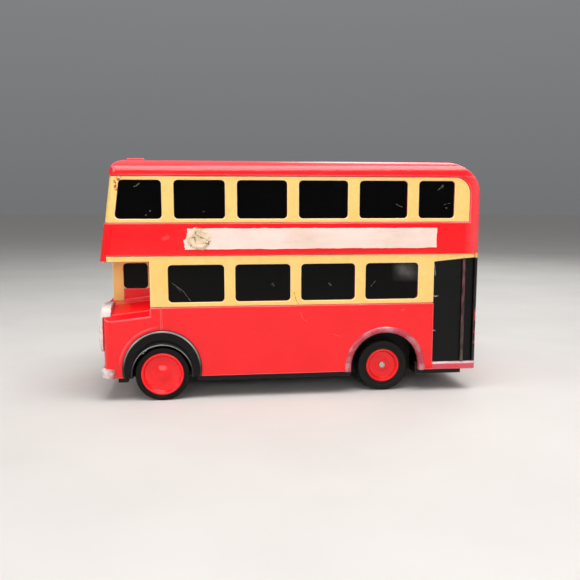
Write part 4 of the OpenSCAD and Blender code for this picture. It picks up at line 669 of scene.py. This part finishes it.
def front_wheel(hand, side):
    """Front wheel: a blind hub with a wide dome in its dish and a rolled rim, and a tyre whose lip covers
    the rim's shoulder."""
    # Distances from the bus's middle: inner ends, hub's web, the hole's blind end, the dish and its dome,
    # the tyre's lip and wall, and the rim's top
    back = 16.0
    web = 19.0
    blind = 19.02
    dish = 20.42
    dome = 21.06
    lip = 21.08
    wall = 21.2
    rim = 21.4
    # Radii of the sleeve round the axle, the hollow behind the web, the rim and the seat under the tyre
    sleeve_r = 2.61
    hollow_r = 5.4
    rim_r = 6.3
    seat_r = 6.8
    turned("front_hub_" + hand, rounded([
        (AXLE_HOLE_R, back, 0), (sleeve_r, back, 0.2), (sleeve_r, web, 0), (hollow_r, web, 0),
        (hollow_r, back, 0.2), (seat_r, back, 0.2), (seat_r, 20.7, 0.1), (rim_r, 20.8, 0.1),
        (rim_r, rim, 0.3), (5.65, rim, 0.35), (5.25, dish, 0.35), (2.9, dish, 0.5), (1.9, 20.72, 0.6),
        (0.9, 21.02, 0.4), (0, dome, 0), (0, blind, 0), (AXLE_HOLE_R, blind, 0)]), FRONT_AXLE_X, side)
    turned("front_tyre_" + hand, rounded([(seat_r + TYRE_ROOM, back, 0), (TYRE_R, back, 0.5)]
        + grooved(16.6, 20.5, TYRE_R, 3, 0.1, 0.4)
        + [(TYRE_R, wall, 0.55), (6.75, wall, 0.12), (6.65, lip, 0.05), (rim_r + TYRE_ROOM, lip, 0.1),
           (rim_r + TYRE_ROOM, 20.82, 0), (seat_r + TYRE_ROOM, 20.72, 0)]), FRONT_AXLE_X, side)


def rear_wheel(hand, side):
    """Rear wheel: a dished hub with a boss round the axle's end, and a soft tyre with a groove in its
    wall."""
    # Distances from the bus's middle: inner ends, boss's end, floor of the wall's groove, and the wall
    back = 13.1
    boss = 17.0
    groove = 17.88
    wall = 18.0
    # Radius of the seat under the tyre
    seat_r = 5.25
    turned("rear_hub_" + hand, rounded([
        (AXLE_HOLE_R, back, 0), (seat_r, back, 0.2), (seat_r, wall, 0.35), (4.45, wall, 0.35),
        (4.1, 16.82, 0.3), (2.2, 16.8, 0.2), (1.9, boss, 0.15), (AXLE_HOLE_R, boss, 0.1)]),
        REAR_AXLE_X, side)
    turned("rear_tyre_" + hand, rounded([(seat_r + TYRE_ROOM, back, 0), (TYRE_R, back, 1.2)]
        + grooved(14.4, 16.6, TYRE_R, 3, 0.14, 0.4)
        + [(TYRE_R, wall, 1.3), (6.35, wall, 0.1), (6.25, groove, 0.06), (6.0, groove, 0.06),
           (5.9, wall, 0.1), (seat_r + TYRE_ROOM, 17.9, 0)]), REAR_AXLE_X, side)


for side, hand in ((1, "left"), (-1, "right")):
    front_wheel(hand, side)
    rear_wheel(hand, side)


def ragged(point, size, depth):
    """Offset of a torn edge at a point, in millimetres."""
    spot = Vector((point[0]/size, point[1]/size, 0.37))
    return depth*(noise.noise(spot) + 0.5*noise.noise(spot*2.7) + 0.3*noise.noise(spot*6.1))


def paper_strip(side, node, torn):
    """Pale strip stuck on a side panel, its edges rubbed and, where torn is set, its front end torn back."""
    x0, x1, z0, z1 = LABEL
    # Distances of the paper's back and front from the bus's middle
    back_y = HALF_W + 0.02
    front_y = HALF_W + 0.13
    # Steps along the strip and up it
    across = 190
    up = 16
    bm = bmesh.new()
    sheets = []
    for face_y in (back_y, front_y):
        rows = []
        for j in range(up + 1):
            v = j/up
            row = []
            for i in range(across + 1):
                u = i/across
                x = x0 + (x1 - x0)*u
                z = z0 + (z1 - z0)*v
                # Long edges wander, the front end is torn back towards its top, and the rear end is rubbed
                rim = abs(2*v - 1)**6
                z += rim*ragged((x, 9*v), 5.0, 0.16)
                if torn:
                    x += u**40*(ragged((7, z), 1.6, 1.1) - 0.5*(z - z0)/(z1 - z0) - 0.1)
                x += (1 - u)**60*ragged((3, z), 2.0, 0.25)
                lift = ragged((x, z + 20), 3.0, 0.012) if face_y == front_y else 0
                row.append(bm.verts.new((x*MM, side*(face_y + lift)*MM, z*MM)))
            rows.append(row)
        sheets.append(rows)
    back, front = sheets
    for j in range(up):
        for i in range(across):
            bm.faces.new((front[j][i], front[j][i + 1], front[j + 1][i + 1], front[j + 1][i]))
            bm.faces.new((back[j][i], back[j + 1][i], back[j + 1][i + 1], back[j][i + 1]))
    for i in range(across):
        bm.faces.new((back[0][i], back[0][i + 1], front[0][i + 1], front[0][i]))
        bm.faces.new((back[up][i], front[up][i], front[up][i + 1], back[up][i + 1]))
    for j in range(up):
        bm.faces.new((back[j][0], front[j][0], front[j + 1][0], back[j + 1][0]))
        bm.faces.new((back[j][across], back[j + 1][across], front[j + 1][across], front[j][across]))
    bmesh.ops.recalc_face_normals(bm, faces=bm.faces)
    for edge in bm.edges:
        edge.smooth = edge.calc_face_angle(0) < radians(50)
    piece = placed(node + "_worn", bm, finish(node), node)
    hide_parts(node)


paper_strip(1, "side_label_left", True)
paper_strip(-1, "side_label_right", False)


def glue_patch():
    """Lump of dried glue and torn fibre on the front end of the pavement-side strip."""
    # Middle of the lump and its radius
    x = 27.6
    z = 48.1
    radius = 3.4
    # Distances from the bus's middle: under the lump, its thin rim and the top over its middle
    base_y = HALF_W + 0.1
    rim_y = HALF_W + 0.135
    top_y = HALF_W + 0.26
    rings = 14
    spokes = 64
    bm = bmesh.new()
    under = []
    over = []
    for k in range(1, rings + 1):
        t = k/rings
        low = []
        high = []
        for i in range(spokes):
            a = 2*pi*i/spokes
            spread = radius*(1 + 0.16*noise.noise(Vector((1.4*cos(a), 1.4*sin(a), 4.1)))
                + 0.07*noise.noise(Vector((4*cos(a), 4*sin(a), 1.3))))
            px = x + spread*t*cos(a)
            pz = z + spread*t*sin(a)*0.98
            # Low cushion with a ridge near its rim, both lumpy
            swell = 0.16*(1 - t**6) + 0.30*max(0.0, 1 - abs(t - 0.78)/0.22)*(1 - t**10)
            swell *= 0.75 + 0.6*noise.noise(Vector((px*1.3, pz*1.3, 0.7)))
            low.append(bm.verts.new((px*MM, base_y*MM, pz*MM)))
            high.append(bm.verts.new((px*MM, (rim_y + max(0.0, swell))*MM, pz*MM)))
        under.append(low)
        over.append(high)
    foot = bm.verts.new((x*MM, base_y*MM, z*MM))
    crown = bm.verts.new((x*MM, top_y*MM, z*MM))
    for i in range(spokes):
        j = (i + 1) % spokes
        bm.faces.new((foot, under[0][j], under[0][i]))
        bm.faces.new((crown, over[0][i], over[0][j]))
        for k in range(rings - 1):
            bm.faces.new((under[k][i], under[k][j], under[k + 1][j], under[k + 1][i]))
            bm.faces.new((over[k][j], over[k][i], over[k + 1][i], over[k + 1][j]))
        bm.faces.new((under[-1][i], under[-1][j], over[-1][j], over[-1][i]))
    bmesh.ops.recalc_face_normals(bm, faces=bm.faces)
    placed("side_label_glue_patch", bm, glue, "side_label_left")


glue_patch()


# Camera at the photograph's place: its turn and dip, its place in millimetres, and its focal length and
# the photograph's width in the photograph's pixels
CAMERA_TURN = radians(6.775)
CAMERA_DIP = radians(7.339)
CAMERA_PLACE = Vector((24.15, 216.0, 58.0))
FOCAL_PIXELS = 660
PHOTO_PIXELS = 580
SENSOR_MM = 36
ahead = Vector((-sin(CAMERA_TURN)*cos(CAMERA_DIP), -cos(CAMERA_TURN)*cos(CAMERA_DIP), -sin(CAMERA_DIP)))
right = Vector((-cos(CAMERA_TURN), sin(CAMERA_TURN), 0))
above = (-ahead).cross(right)
camera_data = bpy.data.cameras.new("camera")
camera_data.sensor_width = SENSOR_MM
camera_data.lens = SENSOR_MM*FOCAL_PIXELS/PHOTO_PIXELS
camera_data.clip_start = 0.01
camera = bpy.data.objects.new("camera", camera_data)
bpy.context.scene.collection.objects.link(camera)
facing = Matrix((right, above, -ahead)).transposed().to_4x4()
camera.matrix_world = Matrix.Translation(CAMERA_PLACE*MM) @ facing
bpy.context.scene.camera = camera


def softbox(name, place, aim, size, watts):
    """Soft studio lamp, aimed at a point; places and sizes in metres."""
    lamp = bpy.data.lights.new(name, "AREA")
    lamp.shape = "RECTANGLE"
    lamp.size, lamp.size_y = size
    lamp.energy = watts
    made = bpy.data.objects.new(name, lamp)
    bpy.context.scene.collection.objects.link(made)
    made.location = place
    made.rotation_euler = (Vector(aim) - Vector(place)).to_track_quat("-Z", "Y").to_euler()


softbox("key_softbox", (-0.05, 0.13, 0.45), (0, 0.02, 0.04), (0.44, 0.25), 2.5)
softbox("side_softbox", (-0.02, 0.55, 0.20), (0, 0, 0.04), (0.60, 0.12), 0.9)
softbox("front_softbox", (0.42, 0.16, 0.24), (0, 0, 0.04), (0.22, 0.22), 0.7)
softbox("back_softbox", (-0.22, -0.34, 0.34), (0, 0, 0.04), (0.34, 0.24), 0.7)

# Plain pale floor: matt paper with a faint tooth
floor_finish, tree, shader, spot = surface("Pale_studio_paper", Roughness=0.85)
tooth = patches(tree, spot, 40.0, 0.3, 0.7)
sheet = add(tree, "MixRGB", {"Fac": tooth, "Color1": "#C8C5C1", "Color2": "#C2BFBB"})
put(tree, shader, {"Base Color": sheet})
# Radius of the floor, in metres
FLOOR_R = 4.0
bm = bmesh.new()
bmesh.ops.create_circle(bm, cap_ends=True, segments=96, radius=FLOOR_R)
mesh = bpy.data.meshes.new("floor")
bm.to_mesh(mesh)
bm.free()
mesh.materials.append(floor_finish)
floor = bpy.data.objects.new("floor", mesh)
bpy.context.scene.collection.objects.link(floor)

# Soft sky: pale round the horizon and brighter overhead
world = bpy.data.worlds.new("studio")
bpy.context.scene.world = world
world.use_nodes = True
sky = world.node_tree
height = add(sky, "SeparateXYZ", {0: add(sky, "TexCoord", {}).outputs["Generated"]})
rise = add(sky, "MapRange", {"Value": height.outputs["Z"], "From Max": 0.9})
tone = add(sky, "MixRGB", {"Fac": rise, "Color1": "#A9ABAE", "Color2": "#E4E5E7"})
put(sky, sky.nodes["Background"], {"Color": tone, "Strength": 0.42})
bpy.context.scene.view_settings.view_transform = "Standard"
